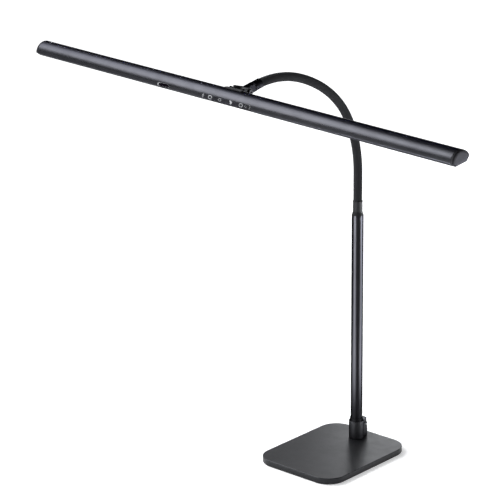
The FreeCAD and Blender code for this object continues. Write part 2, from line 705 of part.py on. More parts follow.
def make_saddle():
    plate = common(rod("saddle_round", "saddle_width", ("-saddle_width / 2", 0, 0), ALONG_X),
                   box("saddle_width", "saddle_round", "saddle_round",
                       ("-saddle_width / 2", "saddle_front", "saddle_low")))
    parts = [plate]
    for start in ("-ear_outside", "ear_inside"):
        arm = box("ear_thick", "2 * knuckle_radius", "ear_arm", (0, 0, 0))
        parts.append(leaned(arm, "ear_lean", (start, "hinge_back - knuckle_radius * cos(ear_lean)",
                                              "hinge_up - knuckle_radius * sin(ear_lean)")))
        parts.append(hinge_rod("knuckle_radius", start, "ear_thick"))
    bed = rod("bar_round", "saddle_width", ("-saddle_width / 2", 0, 0), ALONG_X)
    bolt_hole = hinge_rod("bolt_radius", "-ear_outside", "2 * ear_outside")
    on_bar(cut(fuse(*parts), bed, bolt_hole, *saddle_holes()), "bar_saddle")

    screws = []
    for sign in (-1, 1):
        shank = saddle_rod("screw_radius", "inner_round - saddle_screw_grip",
                           "saddle_screw_grip + 2 * saddle_thick", sign)
        screws.append(fuse(shank, saddle_rod("screw_head", "saddle_round", "screw_head_thick", sign)))
    on_bar(group(*screws), "saddle_screws")


def make_hinge():
    nut_side = "-ear_outside - bolt_head_thick"
    bolt = fuse(hinge_rod("bolt_radius", nut_side, "2 * ear_outside + bolt_head_thick"),
                hinge_rod("bolt_head", "ear_outside", "bolt_head_thick"))
    on_bar(bolt, "tilt_bolt")
    nut = doc.addObject("Part::Prism", "Nut")
    nut.Polygon = 6
    nut.Placement = Placement(Vector(), ALONG_X)
    tie(nut, Circumradius="bolt_head", Height="bolt_head_thick")
    put(nut, (nut_side, "hinge_back", "hinge_up"))
    on_bar(cut(nut, hinge_rod("bolt_radius", nut_side, "bolt_head_thick")), "tilt_nut")
    washers = []
    for start in ("-ear_inside", "ear_inside - washer_thick"):
        washers.append(cut(hinge_rod("washer_radius", start, "washer_thick"),
                           hinge_rod("bolt_radius", start, "washer_thick")))
    on_bar(group(*washers), "friction_washers")


for make in (make_foot, make_socket, make_inlet, make_latch, make_pole, make_neck, make_knuckle,
             make_bar, make_lights, make_controls, make_saddle, make_hinge):
    make()
doc.recompute()

# ---------------------------------------------------------------- checks and export
for item in doc.Objects:
    if "Invalid" in item.State or "Error" in item.State:
        raise RuntimeError(f"{item.Label} failed: {item.State}")
for name, item in NODES.items():
    if item.Shape.isNull() or not item.Shape.isValid() or not item.Shape.Solids:
        raise RuntimeError(f"{name} has no valid solid")

os.makedirs("parts", exist_ok=True)
for name, item in NODES.items():
    item.Shape.exportStep(f"parts/{name}.step")
    box_of = item.Shape.BoundBox
    print(f"{name:20s} solids {len(item.Shape.Solids):2d} volume {item.Shape.Volume:10.1f}"
          f" y {box_of.YMin:7.1f} {box_of.YMax:7.1f} z {box_of.ZMin:6.1f} {box_of.ZMax:6.1f}")
print(len(NODES), "nodes; hinge", round(value("hinge_y"), 3), round(value("hinge_z"), 3),
      "bar", round(value("bar_y"), 3), round(value("bar_z"), 3))
for number in range(1, 9):
    print("pivot", number, round(value(f"across_{number}"), 3), round(value(f"along_{number}"), 3),
          "heading", round(value(f"heading_{number}"), 3))
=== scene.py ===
# %% [markdown]
# # A piano lamp with a bendable neck
# The lamp is already measured and jointed: a imported model gives every piece its place and
# the body that it moves with.  This lesson dresses that model.  It loads the frame first.

import math
from contextlib import contextmanager
from types import SimpleNamespace as Sizes

import bmesh
import bpy
from mathutils import Matrix, Vector


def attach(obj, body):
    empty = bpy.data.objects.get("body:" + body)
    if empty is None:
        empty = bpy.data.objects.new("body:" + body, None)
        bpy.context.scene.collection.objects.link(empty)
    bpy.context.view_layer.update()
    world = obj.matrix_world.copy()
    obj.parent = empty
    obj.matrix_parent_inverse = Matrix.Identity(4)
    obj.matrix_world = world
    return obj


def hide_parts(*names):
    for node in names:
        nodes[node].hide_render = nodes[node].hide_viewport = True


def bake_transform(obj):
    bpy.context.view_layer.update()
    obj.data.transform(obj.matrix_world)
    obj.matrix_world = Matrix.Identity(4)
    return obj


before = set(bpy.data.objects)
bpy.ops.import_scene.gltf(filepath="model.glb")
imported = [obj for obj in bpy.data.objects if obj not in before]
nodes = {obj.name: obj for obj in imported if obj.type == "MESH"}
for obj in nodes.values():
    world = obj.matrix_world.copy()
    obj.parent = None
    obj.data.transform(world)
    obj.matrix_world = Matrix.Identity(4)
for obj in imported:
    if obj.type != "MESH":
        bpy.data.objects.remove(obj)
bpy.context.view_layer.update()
scene = bpy.context.scene
scene.view_settings.view_transform = "Standard"
MM = 0.001

# %% [markdown]
# ## The camera
# A tall thin thing looks best from far off through a long lens, because its upright edges
# then stay nearly parallel.  The camera stands to the right, in front of and above the lamp.

# %% Camera
CAMERA_PLACE = (2.45549, -2.44025, 1.46097)
CAMERA_RIGHT = (0.67109, 0.74133, -0.00889)
CAMERA_UP = (-0.224, 0.21419, 0.95076)
CAMERA_AHEAD = (-0.70673, 0.63605, -0.3098)
CAMERA_LENS = 164.337   # millimetres

camera_data = bpy.data.cameras.new("Camera")
camera_data.lens = CAMERA_LENS
camera = bpy.data.objects.new("Camera", camera_data)
turn = Matrix((CAMERA_RIGHT, CAMERA_UP, [-part for part in CAMERA_AHEAD])).transposed()
camera.matrix_world = Matrix.Translation(CAMERA_PLACE) @ turn.to_4x4()
scene.collection.objects.link(camera)
scene.camera = camera
print("camera lens", CAMERA_LENS, "mm")

# %% [markdown]
# ## Small helpers for shader and geometry trees
# Every tree below is a few nodes and the links between them.  One helper adds a node and
# fills its sockets: a plain value is written into the socket, and an output is linked.

# %% Node helpers
def fill(item, sockets):
    """Write plain values into a node's sockets and link outputs to them."""
    for name, source in sockets.items():
        if isinstance(source, bpy.types.NodeSocket):
            item.id_data.links.new(source, item.inputs[name])
        else:
            item.inputs[name].default_value = source


def node(tree, kind, sockets=None, **settings):
    """Add a node, set its options, then fill its sockets."""
    item = tree.nodes.new(kind)
    for name, setting in settings.items():
        setattr(item, name, setting)
    fill(item, sockets or {})
    return item


def group_tree(name, kind, inputs, outputs):
    """A node group with named inputs and outputs, and its two end nodes."""
    tree = bpy.data.node_groups.new(name, kind)
    for label, socket_kind, start in inputs:
        socket = tree.interface.new_socket(label, in_out="INPUT", socket_type=socket_kind)
        if start is not None:
            socket.default_value = start
    for label, socket_kind in outputs:
        tree.interface.new_socket(label, in_out="OUTPUT", socket_type=socket_kind)
    return tree, node(tree, "NodeGroupInput").outputs, node(tree, "NodeGroupOutput")


def math_node(tree, operation, *values):
    """One sum on numbers or outputs."""
    return node(tree, "ShaderNodeMath", dict(enumerate(values)), operation=operation).outputs[0]


def ramp(tree, value, low, high, start=0.0, end=1.0):
    """Map a value from low..high to start..end, clamped."""
    item = node(tree, "ShaderNodeMapRange", {"Value": value, "From Min": low, "From Max": high,
                                             "To Min": start, "To Max": end})
    return item.outputs["Result"]


def blend_colour(tree, factor, first, second):
    """Mix two colours, each a list of numbers or an output."""
    item = node(tree, "ShaderNodeMix", {0: factor, 6: first, 7: second}, data_type="RGBA")
    return item.outputs[2]


# %% [markdown]
# ## Floor and daylight
# The lamp stands on a plain white surface in a studio with pale walls and a darker ceiling.
# Black things are lit by what they mirror.  The bar mirrors a broad soft box above it.  The
# pole and the cap mirror bright cards that lie on the floor in front and to the right, and
# only mirroring rays see those cards, so the floor and the matt parts stay at a plain level.

# %% World
WALL_GLOW, CEILING_GLOW = 1.0, 0.14
WALL_TOP, CEILING_START = 0.10, 0.42
PURE_WHITE, WALL_WHITE = (1.0, 1.0, 1.0, 1.0), (0.95, 0.965, 1.0, 1.0)
world = bpy.data.worlds.new("Studio")
scene.world = world
world.use_nodes = True
tree = world.node_tree
tree.nodes.clear()
height = node(tree, "ShaderNodeSeparateXYZ",
              {0: node(tree, "ShaderNodeTexCoord").outputs["Generated"]}).outputs["Z"]
strength = ramp(tree, height, WALL_TOP, CEILING_START, WALL_GLOW, CEILING_GLOW)
seen = node(tree, "ShaderNodeLightPath").outputs["Is Camera Ray"]
tint = blend_colour(tree, seen, WALL_WHITE, PURE_WHITE)
studio = node(tree, "ShaderNodeBackground",
              {"Color": tint, "Strength": math_node(tree, "MAXIMUM", strength, seen)})
node(tree, "ShaderNodeOutputWorld", {"Surface": studio.outputs[0]})
print("walls glow", WALL_GLOW, "and the ceiling", CEILING_GLOW)

# %% Floor
def light_path_mask(tree):
    """1 where the camera looks, straight, mirrored or through a clear thing; else 0."""
    path = node(tree, "ShaderNodeLightPath").outputs
    seen = math_node(tree, "MAXIMUM", path["Is Camera Ray"], path["Is Glossy Ray"])
    return math_node(tree, "MAXIMUM", seen, path["Is Transmission Ray"])


FLOOR_HALF, FLOOR_GREY = 9.0, (0.86, 0.86, 0.86, 1.0)
GLOW_NEAR, GLOW_FAR = 0.48, 0.9
GLOW_START, GLOW_FULL = 0.5, 3.0
floor_mesh = bpy.data.meshes.new("floor")
floor_mesh.from_pydata([(x * FLOOR_HALF, y * FLOOR_HALF, 0)
                        for x, y in ((-1, -1), (1, -1), (1, 1), (-1, 1))], [], [(0, 1, 2, 3)])
floor = bpy.data.objects.new("floor", floor_mesh)
scene.collection.objects.link(floor)
floor_paint = bpy.data.materials.new("white_floor")
floor_paint.use_nodes = True
tree = floor_paint.node_tree
tree.nodes.clear()
away = node(tree, "ShaderNodeVectorMath",
            {0: node(tree, "ShaderNodeTexCoord").outputs["Object"]}, operation="LENGTH")
far = ramp(tree, away.outputs["Value"], GLOW_START, GLOW_FULL, GLOW_NEAR, GLOW_FAR)
glow = math_node(tree, "MULTIPLY", far, light_path_mask(tree))
plain = node(tree, "ShaderNodeBsdfDiffuse", {"Color": FLOOR_GREY})
white = node(tree, "ShaderNodeEmission", {"Color": PURE_WHITE, "Strength": glow})
both = node(tree, "ShaderNodeAddShader", {0: plain.outputs[0], 1: white.outputs[0]})
node(tree, "ShaderNodeOutputMaterial", {"Surface": both.outputs[0]})
floor_mesh.materials.append(floor_paint)

# %% Soft boxes
LAMP_WHITE = (0.96, 0.975, 1.0)
SOFT_BOXES = {
    # name: (middle, looks at, width, height, roll, power, lights matt surfaces too)
    "bar_box": ((-1.58, -0.86, 1.99), (0.0, -0.26, 0.62), 1.8, 1.22, 0.0, 71.0, True),
    "rear_box": ((-1.56, 0.60, 1.90), (0.0, -0.26, 0.62), 1.8, 0.80, 0.0, 13.0, True),
    "front_near": ((-0.066, -0.536, 0.004), (-0.066, -0.536, 1.0), 0.44, 0.60, 7.0, 17.0, False),
    "front_far": ((-0.195, -1.589, 0.004), (-0.195, -1.589, 1.0), 0.80, 1.40, 7.0, 145.0, False),
    "right_near": ((0.374, 0.390, 0.004), (0.374, 0.390, 1.0), 0.56, 0.60, 44.0, 28.0, False),
    "right_far": ((1.108, 1.154, 0.004), (1.108, 1.154, 1.0), 1.20, 1.40, 44.0, 280.0, False),
    "foot_card": ((-0.36, 0.67, 0.30), (0.01, -0.06, 0.30), 0.56, 0.56, 0.0, 2.0, False),
}
for name, (middle, target, width, height, roll, power, on_matt) in SOFT_BOXES.items():
    light = bpy.data.lights.new(name, "AREA")
    light.shape = "RECTANGLE"
    light.size, light.size_y, light.energy = width, height, power
    light.color = LAMP_WHITE
    lamp = bpy.data.objects.new(name, light)
    facing = (Vector(middle) - Vector(target)).to_track_quat("Z", "Y").to_matrix().to_4x4()
    lamp.matrix_world = (Matrix.Translation(middle) @ facing
                         @ Matrix.Rotation(math.radians(roll), 4, "Z"))
    lamp.visible_camera = False
    lamp.visible_diffuse = on_matt
    scene.collection.objects.link(lamp)
print("soft boxes:", ", ".join(SOFT_BOXES))

# %% [markdown]
# ## Surface effects as shader groups
# Real finishes differ in colour but share their small faults: a fine grain from the mould
# or the powder, lines along a drawn profile, a paler edge where hands rub, and smudges
# with a little dust.  Each effect is one group, used with its own values per finish.

# %% Grain and drawn lines
VECTOR, FLOAT = "NodeSocketVector", "NodeSocketFloat"


def noise(tree, place, scale, detail, distortion=0.0):
    """The value of a noise texture."""
    return node(tree, "ShaderNodeTexNoise", {"Vector": place, "Scale": scale, "Detail": detail,
                                             "Distortion": distortion}).outputs[0]


grain_group, given, out = group_tree(
    "Fine grain", "ShaderNodeTree",
    [("Vector", VECTOR, None), ("Scale", FLOAT, 1400.0)], [("Height", FLOAT), ("Blotch", FLOAT)])
speck = noise(grain_group, given["Vector"], scale=given["Scale"], detail=3.0)
slow = noise(grain_group, given["Vector"], scale=22.0, detail=4.0)
fill(out, {"Height": ramp(grain_group, speck, 0.3, 0.7),
           "Blotch": ramp(grain_group, slow, 0.35, 0.65)})

line_group, given, out = group_tree(
    "Drawn lines", "ShaderNodeTree",
    [("Vector", VECTOR, None), ("Along", VECTOR, (3.0, 2600.0, 2600.0))], [("Height", FLOAT)])
stretched = node(line_group, "ShaderNodeVectorMath",
                 {0: given["Vector"], 1: given["Along"]}, operation="MULTIPLY")
streak = noise(line_group, stretched.outputs[0], scale=1.0, detail=2.0)
fill(out, {"Height": ramp(line_group, streak, 0.3, 0.7)})

# %% Rubbed edges and handling
edge_group, given, out = group_tree(
    "Rubbed edge", "ShaderNodeTree",
    [("Vector", VECTOR, None), ("Radius", FLOAT, 0.0008), ("Amount", FLOAT, 0.5)],
    [("Mask", FLOAT)])
soft_normal = node(edge_group, "ShaderNodeBevel", {"Radius": given["Radius"]}, samples=4)
true_normal = node(edge_group, "ShaderNodeNewGeometry").outputs["Normal"]
facing = node(edge_group, "ShaderNodeVectorMath", {0: soft_normal.outputs[0], 1: true_normal},
              operation="DOT_PRODUCT")
corner = ramp(edge_group, facing.outputs["Value"], 0.995, 0.88)
patches = noise(edge_group, given["Vector"], scale=240.0, detail=4.0)
worn = math_node(edge_group, "MULTIPLY", corner, ramp(edge_group, patches, 0.3, 0.6))
fill(out, {"Mask": math_node(edge_group, "MULTIPLY", worn, given["Amount"])})

touch_group, given, out = group_tree(
    "Handling", "ShaderNodeTree",
    [("Vector", VECTOR, None), ("Dust", FLOAT, 0.1)], [("Smudge", FLOAT), ("Dust", FLOAT)])
smears = noise(touch_group, given["Vector"], scale=45.0, detail=5.0, distortion=0.6)
flecks = noise(touch_group, given["Vector"], scale=2600.0, detail=1.0)
fallen = ramp(touch_group, flecks, 0.66, 0.78)
up = node(touch_group, "ShaderNodeSeparateXYZ",
          {0: node(touch_group, "ShaderNodeNewGeometry").outputs["Normal"]}).outputs["Z"]
lying = math_node(touch_group, "MULTIPLY", fallen, ramp(touch_group, up, 0.2, 0.9))
fill(out, {"Smudge": ramp(touch_group, smears, 0.42, 0.68),
           "Dust": math_node(touch_group, "MULTIPLY", lying, given["Dust"])})

# %% [markdown]
# ## The finishes
# One recipe serves all of them.  It starts from a plain colour, varies it a little in
# blotches, lifts it at rubbed edges and where dust lies, and takes roughness and bump from
# the same groups.  What is the same all over stays on the shader's own sockets.

# %% One recipe for a finish
def placed(tree, group, **values):
    """Put a shader group into a material and return its outputs."""
    return node(tree, "ShaderNodeGroup", values, node_tree=group).outputs


FINISHES = {}
DUST_GREY, COOL_TINT = (0.42, 0.41, 0.39, 1.0), (0.94, 0.95, 1.0)
RUBBED_LIFT, BUMP_STRENGTH = 0.10, 0.5


def finish(slot, colour, roughness, *, metallic=0.0, specular=0.5, grain=1400.0, depth=0.02,
           spread=0.12, lines=None, wear=0.3, edge=None, dust=0.12, smudge=0.06, rim=1.0):
    """Build the material of one slot and remember it.

    Depth is the grain's height in millimetres, spread is how much darker the blotches are,
    and rim is how bright the surface mirrors at a flat angle.
    """
    material = bpy.data.materials.new("look_" + slot)
    material.use_nodes = True
    tree = material.node_tree
    tree.nodes.clear()
    place = node(tree, "ShaderNodeTexCoord").outputs["Object"]
    small = placed(tree, grain_group, Vector=place, Scale=grain)
    touched = placed(tree, touch_group, Vector=place, Dust=dust)
    rubbed = placed(tree, edge_group, Vector=place, Amount=wear)
    pale = edge or [part + (1.0 - part) * RUBBED_LIFT for part in colour]
    deep = [part * (1.0 - spread) for part in colour]
    tone = blend_colour(tree, small["Blotch"], (*deep, 1.0), (*colour, 1.0))
    tone = blend_colour(tree, rubbed["Mask"], tone, (*pale, 1.0))
    tone = blend_colour(tree, touched["Dust"], tone, DUST_GREY)
    rough = math_node(tree, "MULTIPLY_ADD", touched["Smudge"], smudge, roughness)
    height = small["Height"]
    if lines:
        drawn = placed(tree, line_group, Vector=place, Along=lines)
        height = math_node(tree, "ADD", height, drawn["Height"])
    bump = node(tree, "ShaderNodeBump", {"Height": height, "Strength": BUMP_STRENGTH,
                                         "Distance": depth * MM})
    shader = node(tree, "ShaderNodeBsdfPrincipled",
                  {"Base Color": tone, "Roughness": rough, "Normal": bump.outputs[0],
                   "Metallic": metallic, "Specular IOR Level": specular,
                   "Specular Tint": (*(rim * part for part in COOL_TINT), 1.0)})
    node(tree, "ShaderNodeOutputMaterial", {"Surface": shader.outputs[0]})
    FINISHES[slot] = material


# %% Finishes of the outside
ALONG_BAR = (3.0, 2600.0, 2600.0)
MOULDED = {"grain": 2200.0, "depth": 0.01, "dust": 0.04}
finish("bar_anodised", (0.040, 0.040, 0.044), 0.30, lines=ALONG_BAR, depth=0.006, wear=0.5,
       metallic=1.0, rim=0.24, edge=(0.07, 0.07, 0.075), dust=0.05, smudge=0.04)
finish("pole_paint", (0.013, 0.013, 0.0145), 0.28, metallic=1.0, rim=0.08, depth=0.004,
       edge=(0.04, 0.04, 0.045), dust=0.05, smudge=0.04)
finish("foot_powder_coat", (0.010, 0.010, 0.011), 0.34, grain=1700.0, wear=0.4, specular=0.3)
finish("mat_foam", (0.012, 0.012, 0.012), 0.95, grain=900.0, depth=0.12, wear=0.0)
finish("black_moulding", (0.042, 0.042, 0.045), 0.38, metallic=1.0, rim=0.25,
       edge=(0.07, 0.07, 0.075), **MOULDED)
finish("cap_moulding", (0.030, 0.030, 0.032), 0.60, metallic=1.0, rim=0.20,
       edge=(0.02, 0.02, 0.02), **MOULDED)
finish("hinge_moulding", (0.008, 0.008, 0.009), 0.50, metallic=1.0, rim=0.06,
       edge=(0.02, 0.02, 0.02), **MOULDED)
finish("saddle_moulding", (0.034, 0.034, 0.036), 0.60, specular=0.06, wear=1.0,
       edge=(0.10, 0.10, 0.105), **MOULDED)
finish("ferrule_moulding", (0.016, 0.016, 0.017), 0.60, grain=1900.0, depth=0.01, specular=0.08,
       wear=0.15, edge=(0.06, 0.06, 0.06), dust=0.04)
finish("bush_nylon", (0.012, 0.012, 0.013), 0.36, depth=0.006, metallic=1.0, rim=0.10,
       edge=(0.02, 0.02, 0.02), dust=0.03)
finish("sleeve_rubber", (0.041, 0.041, 0.044), 0.85, grain=1900.0, specular=0.02, wear=0.0,
       dust=0.05)
finish("touch_panel_gloss", (0.032, 0.032, 0.036), 0.28, depth=0.003, smudge=0.08, metallic=1.0,
       rim=0.10, edge=(0.04, 0.04, 0.045), dust=0.03)
# Pale finish of the sign print, also used for the painted highlights at the sensor and the panel's
# right end.
finish("panel_ink_and_glint", (0.50, 0.50, 0.51), 0.45, depth=0.002, spread=0.06, wear=0.0, dust=0.0)
# Near black finish of the painted shade in the panel's recessed right end.
finish("painted_panel_shade", (0.002, 0.002, 0.002), 0.70, depth=0.002, specular=0.1, wear=0.0,
       dust=0.0)
finish("sensor_lens", (0.010, 0.008, 0.012), 0.14, depth=0.001, metallic=1.0, rim=0.10, wear=0.0,
       dust=0.02)
finish("jack_plastic", (0.010, 0.010, 0.011), 0.42)
finish("diffuser_opal", (0.80, 0.80, 0.78), 0.42, grain=1500.0, wear=0.0, spread=0.03, dust=0.05)

# %% Finishes of the metal and the insides
finish("steel", (0.56, 0.56, 0.57), 0.32, metallic=1.0, depth=0.01, edge=(0.7, 0.7, 0.7))
finish("black_steel", (0.014, 0.014, 0.015), 0.45, metallic=1.0, rim=0.1, depth=0.01,
       edge=(0.03, 0.03, 0.031))
finish("washer_fibre", (0.25, 0.20, 0.14), 0.80, depth=0.05)
finish("wire_pvc", (0.03, 0.03, 0.03), 0.50, depth=0.01)
finish("led_board_white", (0.80, 0.81, 0.79), 0.35, depth=0.004, spread=0.04)
finish("circuit_board", (0.02, 0.12, 0.05), 0.35, depth=0.01, spread=0.35)
finish("led_phosphor", (0.85, 0.72, 0.30), 0.45, depth=0.01)
finish("component_body", (0.05, 0.05, 0.055), 0.45)
print(len(FINISHES), "finishes")

for item in nodes.values():
    for slot in item.material_slots:
        slot.material = FINISHES[slot.material.name]

# %% [markdown]
# ## Helpers for making pieces
# A bare solid has knife-sharp edges.  Real edges have a small round that catches a thin
# light, so most pieces get a bevel.  Modifiers are frozen into a plain mesh at once, which
# leaves every finished piece at the origin with its place in its mesh.

# %% Mesh helpers
ONE_POINT = 1e-7   # metres: points closer than this are merged
COPY_POINT, FLAT_ANGLE = 2e-6, 0.6   # the same for copies, and degrees that count as flat


def new_object(name, points, faces, slot=None, edges=()):
    """A linked object from points in metres."""
    mesh = bpy.data.meshes.new(name)
    mesh.from_pydata([tuple(point) for point in points], list(edges), faces)
    item = bpy.data.objects.new(name, mesh)
    scene.collection.objects.link(item)
    if slot:
        mesh.materials.append(FINISHES[slot])
    return item


def freeze(item):
    """Turn an object's modifiers into plain mesh."""
    depsgraph = bpy.context.evaluated_depsgraph_get()
    mesh = bpy.data.meshes.new_from_object(item.evaluated_get(depsgraph), depsgraph=depsgraph,
                                           preserve_all_data_layers=True)
    item.modifiers.clear()
    item.data = mesh
    return item


# %% Open, join and cut meshes
@contextmanager
def reworked(item, near=ONE_POINT):
    """Open a mesh for work, with its doubles merged, and write it back afterwards."""
    work = bmesh.new()
    work.from_mesh(item.data)
    bmesh.ops.remove_doubles(work, verts=work.verts, dist=near)
    yield work
    work.to_mesh(item.data)
    work.free()


def point_outwards(item):
    """Merge doubles and make a closed mesh face outwards."""
    with reworked(item) as work:
        bmesh.ops.recalc_face_normals(work, faces=work.faces)
        if work.calc_volume(signed=True) < 0:
            bmesh.ops.reverse_faces(work, faces=work.faces)
    return item


def carve(item, cutter, operation="DIFFERENCE"):
    """Cut one closed mesh with another and drop the cutter."""
    modifier = item.modifiers.new("Carve", "BOOLEAN")
    modifier.operation, modifier.solver, modifier.object = operation, "EXACT", cutter
    freeze(item)
    bpy.data.objects.remove(cutter)
    return item


# %% Edges and shading
def smooth(item, angle):
    """Shade a mesh smooth, apart from edges sharper than an angle."""
    item.data.polygons.foreach_set("use_smooth", [True] * len(item.data.polygons))
    item.data.set_sharp_from_angle(angle=math.radians(angle))


def ease(item, width=0.0, steps=3, angle=32.0):
    """Round the sharp edges and keep flat faces looking flat."""
    if width:
        bevel = item.modifiers.new("Ease", "BEVEL")
        bevel.width, bevel.segments = width * MM, steps
        bevel.limit_method, bevel.angle_limit = "ANGLE", math.radians(angle)
        bevel.use_clamp_overlap = False
        freeze(item)
    smooth(item, angle)
    even = item.modifiers.new("Even", "WEIGHTED_NORMAL")
    even.keep_sharp = True
    return freeze(item)


# %% Finished pieces
def register(item, slot, *replaced):
    """Hide the bare nodes that a finished piece stands for; the slot is not used."""
    if replaced:
        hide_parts(*replaced)
    print(f"{item.name}: {len(item.data.polygons)} faces")


def settle(item, body, slot, *replaced):
    """Give a finished piece its body, and hide the bare nodes that it stands for."""
    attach(item, body)
    register(item, slot, *replaced)


def eased_copy(node_name, name, body, slot, width, steps=3, look=None):
    """A copy of a bare piece with its loose triangles joined and its edges rounded."""
    item = bpy.data.objects.new(name, nodes[node_name].data.copy())
    scene.collection.objects.link(item)
    item.data.materials.clear()
    item.data.materials.append(FINISHES[look or slot])
    with reworked(item, COPY_POINT) as work:
        bmesh.ops.dissolve_limit(work, angle_limit=math.radians(FLAT_ANGLE), verts=work.verts,
                                 edges=work.edges)
    old_normals = item.data.attributes.get("custom_normal")
    if old_normals:
        item.data.attributes.remove(old_normals)
    ease(item, width, steps)
    settle(item, body, slot, node_name)


# %% [markdown]
# ## Geometry trees
# Four small trees make what follows a rule.  "Extrusion" fills a drawn section and pulls
# it out, as the press does with hot aluminium.  "Tube on a path" sweeps a round skin along
# a line, and "Coil" winds a spring.  "Row" repeats a piece at equal steps, as chips,
# screws and ribs are placed.

# %% Extrusion tree
GEOMETRY = "NodeSocketGeometry"


def geometry_tree(name, inputs):
    """A tree that takes a mesh, its own inputs and a material."""
    return group_tree(name, "GeometryNodeTree",
                      [("Geometry", GEOMETRY, None), *inputs,
                       ("Material", "NodeSocketMaterial", None)], [("Geometry", GEOMETRY)])


def close_tree(tree, given, out, result):
    """Every tree ends in real geometry with its material set."""
    real = node(tree, "GeometryNodeRealizeInstances", {0: result})
    painted = node(tree, "GeometryNodeSetMaterial",
                   {"Geometry": real.outputs[0], "Material": given["Material"]})
    fill(out, {"Geometry": painted.outputs[0]})


extrusion, given, out = geometry_tree("Extrusion", [("Length", FLOAT, 0.1)])
curve = node(extrusion, "GeometryNodeMeshToCurve", {0: given["Geometry"]})
face = node(extrusion, "GeometryNodeFillCurve", {"Curve": curve.outputs[0]})
pull = node(extrusion, "ShaderNodeCombineXYZ", {"Z": given["Length"]})
pulled = node(extrusion, "GeometryNodeExtrudeMesh",
              {"Mesh": face.outputs[0], "Offset": pull.outputs[0], "Offset Scale": 1.0,
               "Individual": False}, mode="FACES")
flipped = node(extrusion, "GeometryNodeFlipFaces", {"Mesh": face.outputs[0]})
ends = node(extrusion, "GeometryNodeJoinGeometry", {0: flipped.outputs[0]})
extrusion.links.new(pulled.outputs["Mesh"], ends.inputs[0])
merged = node(extrusion, "GeometryNodeMergeByDistance",
              {"Geometry": ends.outputs[0], "Distance": ONE_POINT})
close_tree(extrusion, given, out, merged.outputs[0])

# %% Tube tree
tube, given, out = geometry_tree("Tube on a path",
                                 [("Radius", FLOAT, 0.007), ("Sides", "NodeSocketInt", 64),
                                  ("Closed ends", "NodeSocketBool", False)])
path = node(tube, "GeometryNodeMeshToCurve", {0: given["Geometry"]})
ring = node(tube, "GeometryNodeCurvePrimitiveCircle",
            {"Resolution": given["Sides"], "Radius": given["Radius"]})
skin = node(tube, "GeometryNodeCurveToMesh",
            {"Curve": path.outputs[0], "Profile Curve": ring.outputs[0],
             "Fill Caps": given["Closed ends"]})
close_tree(tube, given, out, skin.outputs[0])

# %% Coil tree
coil, given, out = geometry_tree(
    "Coil", [("Radius", FLOAT, 0.002), ("Wire", FLOAT, 0.0005), ("Turns", FLOAT, 3.0),
             ("Height", FLOAT, 0.003)])
helix = node(coil, "GeometryNodeCurveSpiral",
             {"Resolution": 32, "Rotations": given["Turns"], "Start Radius": given["Radius"],
              "End Radius": given["Radius"], "Height": given["Height"]})
wire = node(coil, "GeometryNodeCurvePrimitiveCircle",
            {"Resolution": 12, "Radius": given["Wire"]})
wound = node(coil, "GeometryNodeCurveToMesh",
             {"Curve": helix.outputs[0], "Profile Curve": wire.outputs[0], "Fill Caps": True})
close_tree(coil, given, out, wound.outputs[0])

# %% Row tree
row, given, out = geometry_tree(
    "Row", [("Count", "NodeSocketInt", 4), ("First", VECTOR, None), ("Step", VECTOR, None),
            ("Turn", "NodeSocketRotation", None)])
line = node(row, "GeometryNodeMeshLine",
            {"Count": given["Count"], "Start Location": given["First"],
             "Offset": given["Step"]}, mode="OFFSET")
copies = node(row, "GeometryNodeInstanceOnPoints",
              {"Points": line.outputs[0], "Instance": given["Geometry"],
               "Rotation": given["Turn"]})
close_tree(row, given, out, copies.outputs[0])


# %% Run a tree on a mesh
def grow(item, tree, slot, **inputs):
    """Run a geometry tree on an object's mesh and keep the result as plain mesh."""
    modifier = item.modifiers.new(tree.name, "NODES")
    modifier.node_group = tree
    wanted = {name.replace("_", " ").lower(): value for name, value in inputs.items()}
    wanted["material"] = FINISHES[slot]
    for socket in tree.interface.items_tree:
        if socket.in_out == "INPUT" and socket.name.lower() in wanted:
            modifier[socket.identifier] = wanted[socket.name.lower()]
    return freeze(item)


# %% [markdown]
# ## The bar's section
# The bar is an aluminium profile: a round top, two slanting lower sides and a slot below
# for the diffuser.  A section is a list of points, so the profile, the touch panel and the
# end caps can all be drawn from the same few sizes and are sure to line up.

# %% Sizes of the bar
BAR_ROUND, BAR_DROP, BAR_FLAT, BAR_WALL = 18.3, 2.0, 22.0, 1.4
BAR_LENGTH, CAP_THICK, WEB_LOW, WEB_HIGH, BAR_CORNER = 920.0, 5.0, 7.0, 8.2, 0.7
BAR_PLACE, BAR_LEAN = (0.0, -261.166, 622.297), 10.0
bar_frame = (Matrix.Translation(Vector(BAR_PLACE) * MM)
             @ Matrix.Rotation(math.radians(BAR_LEAN), 4, "X"))
print("the bar:", BAR_LENGTH, "mm long, leaning by", BAR_LEAN, "degrees")


# %% Points of a section
def inset_section(depth):
    """Radius, drop and half flat of the section drawn in by a depth."""
    return (BAR_ROUND - depth, BAR_DROP - depth,
            BAR_FLAT / 2 + depth * (1 - math.sqrt(2)))


def shoulder(radius, drop, half):
    """Where the round meets the slanting side: half width and height."""
    reach = half + drop
    height = (-reach + math.sqrt(2 * radius**2 - reach**2)) / 2
    return reach + height, height


def arc_points(radius, start, end, steps):
    """Points on the round top, angles in degrees from the rear."""
    angles = [math.radians(start + (end - start) * step / steps) for step in range(steps + 1)]
    return [(radius * math.cos(angle), radius * math.sin(angle)) for angle in angles]


def soften(points, corners, size, steps=4):
    """Replace named corners of a closed outline by short curves."""
    result = []
    for number, point in enumerate(points):
        if number not in corners:
            result.append(point)
            continue
        here = Vector(point)
        before = Vector(points[number - 1]) - here
        after = Vector(points[(number + 1) % len(points)]) - here
        start = here + before.normalized() * min(size, before.length * 0.5)
        end = here + after.normalized() * min(size, after.length * 0.5)
        for step in range(steps + 1):
            share = step / steps
            result.append(tuple((1 - share)**2 * start + 2 * share * (1 - share) * here
                                + share**2 * end))
    return result


